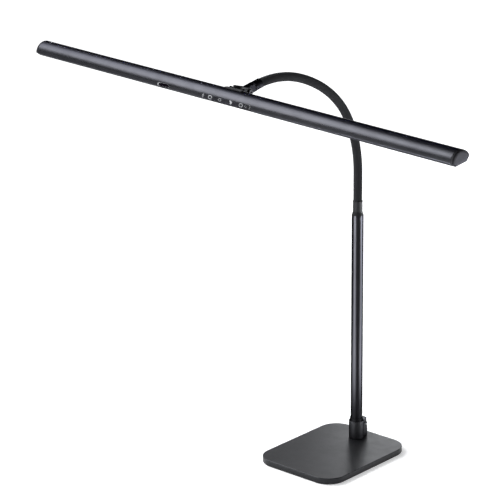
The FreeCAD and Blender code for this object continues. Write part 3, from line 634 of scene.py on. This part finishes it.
def bar_outline(depth=0.0, steps=96):
    """The whole closed section, with softened shoulders and lower corners."""
    radius, drop, half = inset_section(depth)
    side, height = shoulder(radius, drop, half)
    first = math.degrees(math.atan2(height, side))
    lead = math.degrees(BAR_CORNER / radius)
    top = arc_points(radius, first + lead, 180 - first - lead, steps)
    points = [(side, height), *top, (-side, height), (-half, -drop), (half, -drop)]
    last = len(points)
    return soften(points, {0, last - 3, last - 2, last - 1}, BAR_CORNER)


print("outline points:", len(bar_outline()))


# %% Pull a section out along the bar
# A drawing lies in X and Y and is pulled out along Z; this matrix lays the pull along X.
X_UP = Matrix(((0, 0, 1, 0), (1, 0, 0, 0), (0, 1, 0, 0), (0, 0, 0, 1)))


def pulled_section(name, loops, start, length, slot):
    """Extrude closed loops, given in the bar's own y and z, along the bar."""
    points, edges = [], []
    for loop in loops:
        base = len(points)
        points += [(y * MM, z * MM, 0.0) for y, z in loop]
        edges += [(base + step, base + (step + 1) % len(loop)) for step in range(len(loop))]
    item = new_object(name, points, [], slot, edges)
    grow(item, extrusion, slot, Length=length * MM)
    item.data.transform(bar_frame @ Matrix.Translation((start * MM, 0, 0)) @ X_UP)
    return point_outwards(item)


# %% Skins, stacked rings and prisms
def band(lower, upper):
    """Faces between two equal rings of point numbers, without doubled corners."""
    faces = []
    for step in range(len(lower)):
        around = (step + 1) % len(lower)
        face = tuple(dict.fromkeys((lower[step], lower[around], upper[around], upper[step])))
        if len(face) > 2:
            faces.append(face)
    return faces


def closed_skin(rings):
    """Faces of a skin that runs through all rings and back to the first."""
    return [face for number, ring in enumerate(rings)
            for face in band(ring, rings[(number + 1) % len(rings)])]


def stacked_faces(count, levels):
    """Faces of equal rings that are stacked into one solid with flat ends."""
    rings = [range(base, base + count) for base in range(0, levels * count, count)]
    faces = [tuple(rings[0]), tuple(rings[-1])]
    for lower, upper in zip(rings, rings[1:]):
        faces += band(lower, upper)
    return faces


def prism(name, outline, low, high, place):
    """A closed prism on an outline in millimetres; place takes it to metres in the frame."""
    lower, upper = range(len(outline)), range(len(outline), 2 * len(outline))
    points = [place @ (Vector((a, b, level)) * MM) for level in (low, high) for a, b in outline]
    faces = [*band(lower, upper), tuple(reversed(lower)), tuple(upper)]
    return point_outwards(new_object(name, points, faces))


# %% Circles, drilled holes and lathe work
def circle(radius, steps, across=0.0, along=0.0):
    """Points on a circle."""
    return [(across + radius * math.cos(math.tau * step / steps),
             along + radius * math.sin(math.tau * step / steps)) for step in range(steps)]


def drill(item, place, radius, low, high, across, along=0.0):
    """A round hole, made with a cutter that reaches from low to high."""
    return carve(item, prism("hole", circle(radius, 24, across, along), low, high, place))


def lathe(name, profile, place, steps, slot=None):
    """Turn a closed profile of (radius, height) about Z; radius 0 makes a pole point."""
    points, rings = [], []
    for radius, height in profile:
        if not radius:
            rings.append([len(points)] * steps)
            points.append(place @ Vector((0.0, 0.0, height * MM)))
        else:
            rings.append(list(range(len(points), len(points) + steps)))
            points += [place @ Vector((a * MM, b * MM, height * MM))
                       for a, b in circle(radius, steps)]
    return point_outwards(new_object(name, points, closed_skin(rings), slot))


# %% [markdown]
# ## The bar's profile
# The profile is one extrusion, so it is made as one: a drawn section is filled and pulled.
# The window for the touch panel and the oval one for the sensor are milled afterwards, as
# a factory does it, and then all the cut edges get their small round.

# %% Section of the profile
inner_radius, inner_drop, inner_half = inset_section(BAR_WALL)
LENS_LIP = 1.42
slot_half = inner_half - LENS_LIP
inner_side, inner_height = shoulder(inner_radius, inner_drop, inner_half)
inner_first = math.degrees(math.atan2(inner_height, inner_side))
web_low_angle = math.degrees(math.asin(WEB_LOW / inner_radius))
web_high_angle = math.degrees(math.asin(WEB_HIGH / inner_radius))

CORNER_POINTS = 5
outside = bar_outline()
front_inside = [(-slot_half, -BAR_DROP), (-slot_half, -inner_drop), (-inner_half, -inner_drop),
                *arc_points(inner_radius, 180 - inner_first, 180 - web_low_angle, 3)]
rear_inside = [(-y, z) for y, z in reversed(front_inside)]
section = outside[:-CORNER_POINTS] + front_inside + rear_inside + outside[-CORNER_POINTS:]
upper_room = arc_points(inner_radius, web_high_angle, 180 - web_high_angle, 48)
profile_half = BAR_LENGTH / 2 - CAP_THICK
print("section:", len(section), "points; room above the web:", len(upper_room))

# %% Windows
PANEL_START, PANEL_END, PANEL_TOP, PANEL_BACK = -49.0, 57.0, 10.35, 10.75
SEAM, PANEL_CORNER = 0.15, 3.0
SENSOR_PLACE, SENSOR_LENGTH, SENSOR_RADIUS, SENSOR_ANGLE = -138.5, 25.0, 2.9, 159.0
FRONT_REACH, BELOW, DRILLED = 30.0, 6.0, (13.5, 24.0)
# A drawing seen from the front, upright, that is pulled along Y.
FROM_FRONT = Matrix(((1, 0, 0, 0), (0, 0, 1, 0), (0, 1, 0, 0), (0, 0, 0, 1)))


def panel_tile(margin):
    """The panel's outline from the front, as a prism that reaches out of the bar."""
    left, right, top = PANEL_START - margin, PANEL_END + margin, PANEL_TOP + margin
    outline = [(left, -BELOW), (right, -BELOW), (right, top), (left, top)]
    outline = soften(outline, {2, 3}, PANEL_CORNER + margin, 10)
    return prism("tile", outline, -FRONT_REACH, margin - PANEL_BACK, bar_frame @ FROM_FRONT)


def slot_outline(reach, steps):
    """A slot with round ends; reach gives the end's radius for each direction."""
    half = SENSOR_LENGTH / 2 - SENSOR_RADIUS
    points = []
    for side in (1, -1):
        for step in range(steps + 1):
            angle = math.pi * (step / steps - 0.5)
            across, up = side * math.cos(angle), side * math.sin(angle)
            points.append((SENSOR_PLACE + side * half + reach(across) * across,
                           reach(across) * up))
    return points


def sensor_oval(margin):
    """The sensor's slot as a prism, square to the bar's front."""
    lean = Matrix.Rotation(math.radians(SENSOR_ANGLE - 90), 4, "X")
    outline = slot_outline(lambda across: SENSOR_RADIUS + margin, 14)
    return prism("oval", outline, *DRILLED, bar_frame @ lean)


# %% Make the profile
profile = pulled_section("profile", [section, upper_room], -profile_half, 2 * profile_half,
                         "bar_anodised")
carve(profile, panel_tile(SEAM))
carve(profile, sensor_oval(SEAM))
SADDLE = Sizes(screw_x=14.0, lean=-35.0, screw=1.5, lead=2.0, inner=13.0, outer=24.0)
saddle_turn = bar_frame @ Matrix.Rotation(math.radians(SADDLE.lean), 4, "X")
for across, radius in ((-SADDLE.screw_x, SADDLE.screw), (SADDLE.screw_x, SADDLE.screw),
                       (0.0, SADDLE.lead)):
    drill(profile, saddle_turn, radius, SADDLE.inner, SADDLE.outer, across)
settle(ease(profile, 0.28, 2), "light_bar", "bar_anodised", "bar_profile")

# %% [markdown]
# ## End caps
# Each cap is a moulded plug.  Its face is slightly pillowed, which is easy to make from
# rings: the same section, drawn in a little more at each step outwards.

# %% End caps
CAP_STEPS = [  # (how far out, how far drawn in); the first three make the seam's groove
    (0.0, 0.45), (0.45, 0.45), (0.75, 0.08), (1.0, 0.0), (2.4, 0.0), (3.1, 0.12), (3.7, 0.45),
    (4.15, 0.95), (4.5, 1.6), (4.72, 2.4), (4.88, 3.4), (4.97, 4.3), (5.0, 4.9)]
KEY = Sizes(length=8.0, half=7.0, low=9.4, high=14.9, inside=1.0)
NODE_OF_CAP = {-1: "end_cap_left", 1: "end_cap_right"}


def end_cap(side, name):
    """A pillowed cap with a key that fits the profile's upper room."""
    rings = [bar_outline(depth, steps=48) for _, depth in CAP_STEPS]
    points = [bar_frame @ (Vector((side * (profile_half + out), y, z)) * MM)
              for (out, _), ring in zip(CAP_STEPS, rings) for y, z in ring]
    cap = point_outwards(new_object(name, points, stacked_faces(len(rings[0]), len(rings)),
                                    "cap_moulding"))
    key_outline = [(-KEY.half, KEY.low), (KEY.half, KEY.low), (KEY.half, KEY.high),
                   (-KEY.half, KEY.high)]
    ends = sorted((side * (profile_half - KEY.length), side * (profile_half + KEY.inside)))
    carve(cap, prism("key", key_outline, *ends, bar_frame @ X_UP), "UNION")
    settle(ease(cap), "light_bar", "black_moulding", NODE_OF_CAP[side])


end_cap(-1, "left_cap")
end_cap(1, "right_cap")

# %% [markdown]
# ## Touch panel, sensor window and diffuser
# The panel and the sensor window fill the milled windows, so both are cut from the bar's
# own ring section and follow its round exactly.  Thin pale print marks the keys.  A pale
# painted reflection rims the sensor, a thin painted highlight lies at the panel's right end,
# and a dark layer beside it is painted shade.  The diffuser is an opal strip with two lips
# that slide in the profile's slot.

# %% Touch panel
PANEL_SUNK = 0.14
ring_section = [bar_outline(PANEL_SUNK), bar_outline(BAR_WALL)]
panel = pulled_section("touch_glass", ring_section, PANEL_START, PANEL_END - PANEL_START,
                       "touch_panel_gloss")
carve(panel, panel_tile(0.0), "INTERSECT")
settle(ease(panel, 0.3), "light_bar", "touch_panel_gloss", "touch_panel")

# %% Shapes of the signs, the painted highlight and the painted shade
LAYER_THICK, LAYER_DEEP, GLINT_THICK = 0.05, 0.01, 0.02
LAYER_HIGH = BAR_ROUND - PANEL_SUNK
WIDER = 1.45


def ring_sign(across, up, outer, inner):
    """A ring, wider than high, that fits the panel's narrow band."""
    return [[(across + (x - across) * WIDER, s) for x, s in circle(radius, 40, across, up)]
            for radius in (outer, inner)]


def filled(outline, rings=6):
    """Loops that shrink to the middle, so that a layer can follow the round."""
    middle = (sum(x for x, _ in outline) / len(outline), sum(s for _, s in outline) / len(outline))
    return [[(middle[0] + (x - middle[0]) * share, middle[1] + (s - middle[1]) * share)
             for x, s in outline] for share in [1 - ring / rings for ring in range(rings + 1)]]


def dense(corners, steps=10):
    """Put more points on the straight sides of an outline."""
    result = []
    for number, (x, s) in enumerate(corners):
        after = corners[(number + 1) % len(corners)]
        result += [(x + (after[0] - x) * step / steps, s + (after[1] - s) * step / steps)
                   for step in range(steps)]
    return result


def half_sign(across, up, radius, steps=20, lean=0.38):
    """A half disc, as on a brightness key; lean is its first corner, in half turns."""
    angles = [math.pi * (step / steps - lean) for step in range(steps + 1)]
    arc = [(across + radius * WIDER * math.cos(angle), up + radius * math.sin(angle))
           for angle in angles]
    return filled(arc + dense([arc[-1], arc[0]], 8)[1:8])


def upright_stroke(across, up, tall, wide):
    """A short upright stroke."""
    return filled(dense([(across + x * wide / 2, up + s * tall / 2)
                         for x, s in ((1, -1), (1, 1), (-1, 1), (-1, -1))]))


# %% Painted reflection round the sensor, and the list of pale layers
def sensor_glint_loops(margin=0.2, least=0.12, most=1.7, lowest=5.3):
    """A painted reflection round the sensor's window, wide at its left end, thin elsewhere."""
    middle, inner = math.radians(180 - SENSOR_ANGLE) * BAR_ROUND, SENSOR_RADIUS + margin
    loops = (slot_outline(lambda across: inner + least
                          + (most - least) * max(0.0, -across)**1.5, 24),
             slot_outline(lambda across: inner, 24))
    return [[(x, max(level, middle + up)) for x, up in loop]
            for loop, level in zip(loops, (lowest - 0.1, lowest))]


MIDDLE_ARC, END_ARC = 7.75, 7.4
SIGNS_AND_END_HIGHLIGHT = [upright_stroke(-47.2, MIDDLE_ARC, 5.0, 1.3), ring_sign(-32.0, MIDDLE_ARC, 2.9, 2.0),
         ring_sign(-10.0, MIDDLE_ARC, 2.1, 1.75), half_sign(12.5, MIDDLE_ARC, 2.9),
         ring_sign(36.5, MIDDLE_ARC, 2.9, 2.1), ring_sign(46.5, MIDDLE_ARC + 0.4, 1.4, 1.15),
         # This last stroke is no sign: it is a painted highlight along the panel's right end.
         upright_stroke(55.3, END_ARC, 4.8, 0.5)]
# The last entry is no sign: it is the painted reflection round the sensor's window.
PRINTS_AND_GLINTS = [(loops, LAYER_HIGH, LAYER_THICK) for loops in SIGNS_AND_END_HIGHLIGHT] + [(sensor_glint_loops(), BAR_ROUND, GLINT_THICK)]
# A dark stroke of painted shade where the panel's right end is recessed.
END_PAINTED_SHADE = [(upright_stroke(52.7, END_ARC, 5.4, 4.0), LAYER_HIGH, LAYER_THICK)]
# The rim counted here is the painted reflection round the sensor.
print(len(SIGNS_AND_END_HIGHLIGHT), "signs and one rim")


# %% Lay the signs, painted highlights and painted shade on the round
def on_round(x, s, radius):
    """A point on the bar's round, at an arc length above its front."""
    angle = math.pi - s / radius
    far_out = radius * MM
    return bar_frame @ Vector((x * MM, far_out * math.cos(angle), far_out * math.sin(angle)))


def laid_on_round(name, layers, layer_finish):
    """Thin closed layers on the bar's round, for signs, painted highlights and painted shade."""
    points, faces = [], []
    for loops, radius, thick in layers:
        count, start = len(loops[0]), len(points)
        points += [on_round(x, s, radius + raised) for raised in (-LAYER_DEEP, thick)
                   for loop in loops for x, s in loop]
        rings = [range(base, base + count) for base in range(start, len(points), count)]
        under, over = rings[:len(loops)], rings[len(loops):]
        faces += closed_skin(over + under[::-1])
    item = new_object(name, points, faces, layer_finish)
    with reworked(item) as work:
        bmesh.ops.dissolve_degenerate(work, edges=work.edges, dist=ONE_POINT / 10)
    settle(ease(point_outwards(item)), "light_bar", "touch_panel_gloss")


laid_on_round("panel_signs_and_glints", PRINTS_AND_GLINTS, "panel_ink_and_glint")
# The dark layer at the panel's right end is painted shade.
laid_on_round("panel_end_painted_shade", END_PAINTED_SHADE, "painted_panel_shade")

# %% Sensor window
LENS_RECESS, SPARE = 0.45, 1.0
lens_section = [bar_outline(LENS_RECESS), bar_outline(BAR_WALL)]
lens = pulled_section("sensor_lens", lens_section, SENSOR_PLACE - SENSOR_LENGTH / 2 - SPARE,
                      SENSOR_LENGTH + 2 * SPARE, "sensor_lens")
carve(lens, sensor_oval(0.0), "INTERSECT")
settle(ease(lens, 0.15, 2), "light_bar", "sensor_lens", "sensor_window")

# %% Diffuser
LENS_GAP, LIP_GAP, LENS_THICK = 0.15, 0.3, 1.1
lip_half = inner_half - LIP_GAP
strip = [(slot_half - LENS_GAP, -BAR_DROP), (slot_half - LENS_GAP, -inner_drop),
         (lip_half, -inner_drop), (lip_half, LENS_THICK - inner_drop)]
strip += [(-y, z) for y, z in reversed(strip)]
diffuser = pulled_section("opal_strip", [strip], -profile_half, 2 * profile_half,
                          "diffuser_opal")
settle(ease(diffuser, 0.2, 2), "light_bar", "diffuser_opal", "diffuser")

# %% [markdown]
# ## Lights on the board
# A light bar holds dozens of equal chips.  One small chip is modelled, and the row tree
# sets it out at the board's pitch.

# %% LED chips
CHIP = Sizes(half=1.5, thick=0.6, corner=0.35, dot=1.15, dot_out=0.08, inside=0.3)
CHIP_PITCH, CHIP_COUNT, BOARD_LOW = 20.0, 44, 6.0
IN_PLACE = Matrix.Identity(4)   # for what is drawn where it stands


def chip_mesh():
    """A package with a thin round dot of phosphor below it."""
    half = CHIP.half
    square = soften([(-half, -half), (half, -half), (half, half), (-half, half)],
                    {0, 1, 2, 3}, CHIP.corner, 2)
    chip = prism("chips", square, CHIP.dot_out - CHIP.thick, 0.0, IN_PLACE)
    dot = prism("dot", circle(CHIP.dot, 16), -CHIP.thick, -CHIP.inside, IN_PLACE)
    return carve(chip, dot, "UNION")


first_chip = bar_frame @ Vector((-(CHIP_COUNT - 1) / 2 * CHIP_PITCH * MM, 0, BOARD_LOW * MM))
chips = grow(chip_mesh(), row, "led_phosphor", Count=CHIP_COUNT, First=first_chip,
             Step=(CHIP_PITCH * MM, 0, 0), Turn=(math.radians(BAR_LEAN), 0, 0))
settle(chips, "light_bar", "led_phosphor", "led_chips")

# %% [markdown]
# ## Foot plate
# A heavy steel plate keeps the long bar from tipping.  It is built from rings of one
# rounded rectangle, so its top edge can be a true quarter round, and the holes for the
# four screws are drilled from below.

# %% Foot plate
FOOT = Sizes(half=80.0, front=-166.4, back=33.6, corner=32.0, low=1.2, high=10.5, edge=1.2,
             low_edge=0.3, offset=4.9, turn=6.1)
foot_frame = Matrix.Rotation(math.radians(FOOT.turn), 4, "Z")


def foot_ring(inset, steps=20):
    """A rounded rectangle drawn in by an inset."""
    corner = FOOT.corner
    points = []
    for quarter, (x, y) in enumerate(((1, 1), (-1, 1), (-1, -1), (1, -1))):
        middle = (FOOT.offset + x * (FOOT.half - corner),
                  (FOOT.back - corner) if y > 0 else (FOOT.front + corner))
        for step in range(steps + 1):
            angle = math.pi / 2 * (quarter + step / steps)
            points.append((middle[0] + (corner - inset) * math.cos(angle),
                           middle[1] + (corner - inset) * math.sin(angle)))
    return points


levels = [(FOOT.low_edge, FOOT.low), (0.0, FOOT.low + FOOT.low_edge)]
for step in range(9):
    angle = math.pi / 2 * step / 8
    levels.append((FOOT.edge * (1 - math.cos(angle)),
                   FOOT.high - FOOT.edge * (1 - math.sin(angle))))
foot_points = [foot_frame @ (Vector((x, y, level)) * MM)
               for inset, level in levels for x, y in foot_ring(inset)]
foot_faces = stacked_faces(len(foot_ring(0.0)), len(levels))
foot = point_outwards(new_object("foot_plate", foot_points, foot_faces, "foot_powder_coat"))
SCREW = Sizes(spot=7.0 * math.sqrt(0.5), bore=1.65, through=12.0, sink=2.9, sunk=3.0)
for x in (-SCREW.spot, SCREW.spot):
    for y in (-SCREW.spot, SCREW.spot):
        drill(foot, foot_frame, SCREW.bore, 0.0, SCREW.through, x, y)
        drill(foot, foot_frame, SCREW.sink, 0.0, SCREW.sunk, x, y)
settle(ease(foot), "base", "foot_powder_coat", "base_plate")

# %% [markdown]
# ## Socket, latch and inlet
# These are moulded black parts.  Their bare solids already have the right shape, so each
# is copied, its loose triangles are joined, and its edges are rounded.

# %% Moulded parts of the foot
eased_copy("pole_socket", "socket_body", "base", "black_moulding", 0.6)
eased_copy("socket_bush", "bush_sleeve", "base", "bush_nylon", 0.25)
eased_copy("inlet_jack", "jack_body", "base", "jack_plastic", 0.15)
eased_copy("release_latch", "thumb_latch", "latch", "black_moulding", 0.45, 4)

# %% Thumb ribs
RIBS = Sizes(count=4, back=21.5, low=33.4, pitch=1.6, radius=0.4, half=2.9)
rib_end = [(0.0, RIBS.half), (RIBS.radius * 0.7, RIBS.half), (RIBS.radius, RIBS.half - 0.3)]
rib_bar = lathe("thumb_ribs", [(radius, -along) for radius, along in rib_end] + rib_end[::-1],
                X_UP, 16)
ribs = grow(rib_bar, row, "black_moulding", Count=RIBS.count,
            First=foot_frame @ Vector((0, RIBS.back * MM, RIBS.low * MM)),
            Step=(0, 0, RIBS.pitch * MM), Turn=(0, 0, math.radians(FOOT.turn)))
settle(ease(ribs), "latch", "black_moulding")

# %% Latch spring
SPRING = Sizes(radius=1.55, wire=0.33, turns=3.6, height=2.5, back=18.35, high=29.8)
spring = grow(new_object("torsion_spring", [(0, 0, 0)], []), coil, "steel",
              Radius=SPRING.radius * MM, Wire=SPRING.wire * MM, Turns=SPRING.turns,
              Height=SPRING.height * MM)
spring_place = Vector((-SPRING.height / 2, SPRING.back, SPRING.high)) * MM
spring.data.transform(foot_frame @ Matrix.Translation(spring_place) @ X_UP)
settle(ease(point_outwards(spring), angle=60.0), "base", "steel", "latch_spring")

# %% Inlet pin
JACK_HIGH, PIN_START, PIN_END = 15.2, 13.9, 21.5
# Turned parts stand along Z; this matrix lays them along Y.
Y_UP = Matrix(((1, 0, 0, 0), (0, 0, 1, 0), (0, -1, 0, 0), (0, 0, 0, 1)))
pin_place = foot_frame @ Matrix.Translation(Vector((0, 0, JACK_HIGH)) * MM) @ Y_UP
pin = lathe("contact_pin", [(0.0, PIN_START), (1.0, PIN_START), (1.0, PIN_END - 0.8),
                            (0.92, PIN_END - 0.35), (0.6, PIN_END - 0.08), (0.0, PIN_END)],
            pin_place, 32, "steel")
settle(ease(pin), "base", "steel", "inlet_pin")

# %% [markdown]
# ## Pole and ferrule
# Both are turned parts, so both are lathe work: a closed profile is turned about the
# pole's axis.  A grub screw at the back holds the ferrule in the tube.

# %% Pole tube
TUBE_LOW, POLE_TOP, POLE_RADIUS, TUBE_BORE, POLE_EDGE = 31.1, 391.8, 9.5, 8.3, 0.25
GRUB = Sizes(radius=1.5, high=POLE_TOP - 7.5, inner=5.5, outer=15.0)


def drill_for_grub(item):
    """The grub screw's hole through the tube and the ferrule."""
    drill(item, Y_UP, GRUB.radius, GRUB.inner, GRUB.outer, 0.0, -GRUB.high)


pole_profile = [(TUBE_BORE, TUBE_LOW), (POLE_RADIUS, TUBE_LOW), (POLE_RADIUS, POLE_TOP),
                (TUBE_BORE, POLE_TOP)]
pole = lathe("pole", soften(pole_profile, {1, 2}, POLE_EDGE), IN_PLACE, 128, "pole_paint")
drill_for_grub(pole)
settle(ease(pole), "pole", "pole_paint", "pole_tube")

# %% Ferrule
FERRULE = Sizes(tail=376.8, shoulder=397.5, seat=400.0, top=415.0, lip=412.3, radius=7.95,
                waist=7.65, bore=2.0, neck=7.0, edge=0.4)
ferrule_profile = [
    (FERRULE.bore, FERRULE.tail), (TUBE_BORE, FERRULE.tail), (TUBE_BORE, POLE_TOP),
    (POLE_RADIUS, POLE_TOP), (FERRULE.waist, FERRULE.shoulder), (FERRULE.waist, FERRULE.lip),
    (FERRULE.radius, FERRULE.lip + 0.5), (FERRULE.radius, FERRULE.top),
    (FERRULE.neck, FERRULE.top), (FERRULE.neck, FERRULE.seat), (FERRULE.bore, FERRULE.seat)]
ferrule = lathe("ferrule", soften(ferrule_profile, {3, 4, 7}, FERRULE.edge), IN_PLACE, 128,
                "ferrule_moulding")
drill_for_grub(ferrule)
settle(ease(ferrule), "pole", "pole_paint", "neck_ferrule")

# %% [markdown]
# ## The gooseneck
# A bendable neck has one smooth sleeve.  Here seven hinges stand in for its bending, so
# the sleeve is swept along the neck's line in stretches.  Each stretch reaches from the
# middle of one link to the middle of the next and turns smoothly across the hinge between
# them; neighbours share their end rings and read as one sleeve.

# %% The neck's line
NECK_LOW, NECK_PIVOT, LINK = 400.0, 461.4, 46.2
TURNS = (13.2, 13.3, 18.1, 14.8, 11.7, 16.4, 16.6)


def neck_point(along):
    """The place at a distance past the first hinge, negative below it."""
    y, z, heading = 0.0, NECK_PIVOT, 0.0
    if along <= 0:
        return Vector((0, y, z + along)) * MM
    for turn_by in TURNS:
        share = min(along / LINK, 1.0)
        bend = LINK / math.radians(turn_by)
        start, end = math.radians(heading), math.radians(heading + turn_by * share)
        y -= bend * (math.cos(start) - math.cos(end))
        z += bend * (math.sin(end) - math.sin(start))
        heading += turn_by * share
        along -= LINK
        if along <= 0:
            break
    return Vector((0, y, z)) * MM


NECK_END = len(TURNS) * LINK
print("neck end, mm:", [round(part / MM, 2) for part in neck_point(NECK_END)])

# %% Sleeve stretches
SLEEVE_RADIUS, SLEEVE_WALL, RING_STEP, BLEND_HALF = 7.0, 1.4, 1.3, 14.0


def sleeve(name, start, end):
    """One stretch of the sleeve as a closed skin with a wall."""
    count = max(2, math.ceil((end - start) / RING_STEP))
    line_points = [neck_point(start + (end - start) * step / count)
                   for step in range(count + 1)]
    edges = [(step, step + 1) for step in range(count)]
    item = grow(new_object(name, line_points, [], "sleeve_rubber", edges), tube,
                "sleeve_rubber", Radius=SLEEVE_RADIUS * MM, Sides=64, Closed_ends=False)
    wall = item.modifiers.new("Wall", "SOLIDIFY")
    wall.thickness, wall.offset = SLEEVE_WALL * MM, -1.0
    freeze(item)
    point_outwards(item)
    smooth(item, 40.0)
    return item


settle(sleeve("neck_skin_0", NECK_LOW - NECK_PIVOT, -LINK / 2), "pole", "sleeve_rubber",
       "neck_sleeve_0")
for number in range(1, 8):
    hinge = (number - 1) * LINK
    skin = sleeve(f"neck_skin_{number}", hinge - LINK / 2, hinge + LINK / 2)
    tuple(neck_point(hinge - BLEND_HALF))
    tuple(neck_point(hinge + BLEND_HALF))
    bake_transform(skin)
    register(skin, "sleeve_rubber", f"neck_sleeve_{number}")
settle(sleeve("neck_skin_8", NECK_END - LINK / 2, NECK_END), "neck_link_7", "sleeve_rubber")

# %% [markdown]
# ## Tilt hinge
# The neck ends in a flat tongue between the two ears of a saddle that is screwed to the
# bar.  The screws and the bolt have hexagon sockets, which are cut before the row tree
# sets the screws in place.

# %% Knuckle and saddle
eased_copy("neck_knuckle", "knuckle", "neck_link_7", "black_moulding", 0.4,
           look="hinge_moulding")
eased_copy("bar_saddle", "saddle", "light_bar", "black_moulding", 0.35,
           look="saddle_moulding")
eased_copy("tilt_nut", "hinge_nut", "light_bar", "black_steel", 0.3)


# %% Socket screws
TIP_CUT, KEY_DEEP, KEY_ABOVE = 0.25, 1.1, 1.0
HEAD_ROUND = ((0.0, 0.7), (0.15, 0.3), (0.6, 0.0))   # (inwards, down) from the head's corner


def socket_screw(name, radius, head, seat, top, tip, key):
    """A screw along +Z: shank from tip to seat, head from seat to top, hexagon socket."""
    profile = [(0.0, tip), (radius - TIP_CUT, tip), (radius, tip + TIP_CUT), (radius, seat),
               (head, seat), *((head - inwards, top - down) for inwards, down in HEAD_ROUND),
               (0.0, top)]
    screw = lathe(name, profile, IN_PLACE, 48, "black_steel")
    carve(screw, prism("key", circle(key / math.sqrt(3), 6), top - KEY_DEEP, top + KEY_ABOVE,
                       IN_PLACE))
    return ease(screw)


screw = socket_screw("saddle_screw_pair", radius=1.5, head=2.75, seat=20.3, top=22.1,
                     tip=14.9, key=2.0)
screw_start = bar_frame @ Vector((-SADDLE.screw_x * MM, 0, 0))
screws = grow(screw, row, "black_steel", Count=2, First=screw_start,
              Step=(2 * SADDLE.screw_x * MM, 0, 0),
              Turn=(math.radians(BAR_LEAN + SADDLE.lean), 0, 0))
settle(screws, "light_bar", "black_steel", "saddle_screws")

# %% Tilt bolt
HINGE = Sizes(back=26.607, up=7.881, outside=9.9, end=12.4)
bolt = socket_screw("hinge_bolt", radius=2.5, head=4.4, seat=HINGE.outside, top=HINGE.end,
                    tip=-HINGE.end, key=3.0)
bolt.data.transform(bar_frame @ Matrix.Translation(Vector((0, HINGE.back, HINGE.up)) * MM)
                    @ X_UP)
settle(bolt, "light_bar", "black_steel", "tilt_bolt")
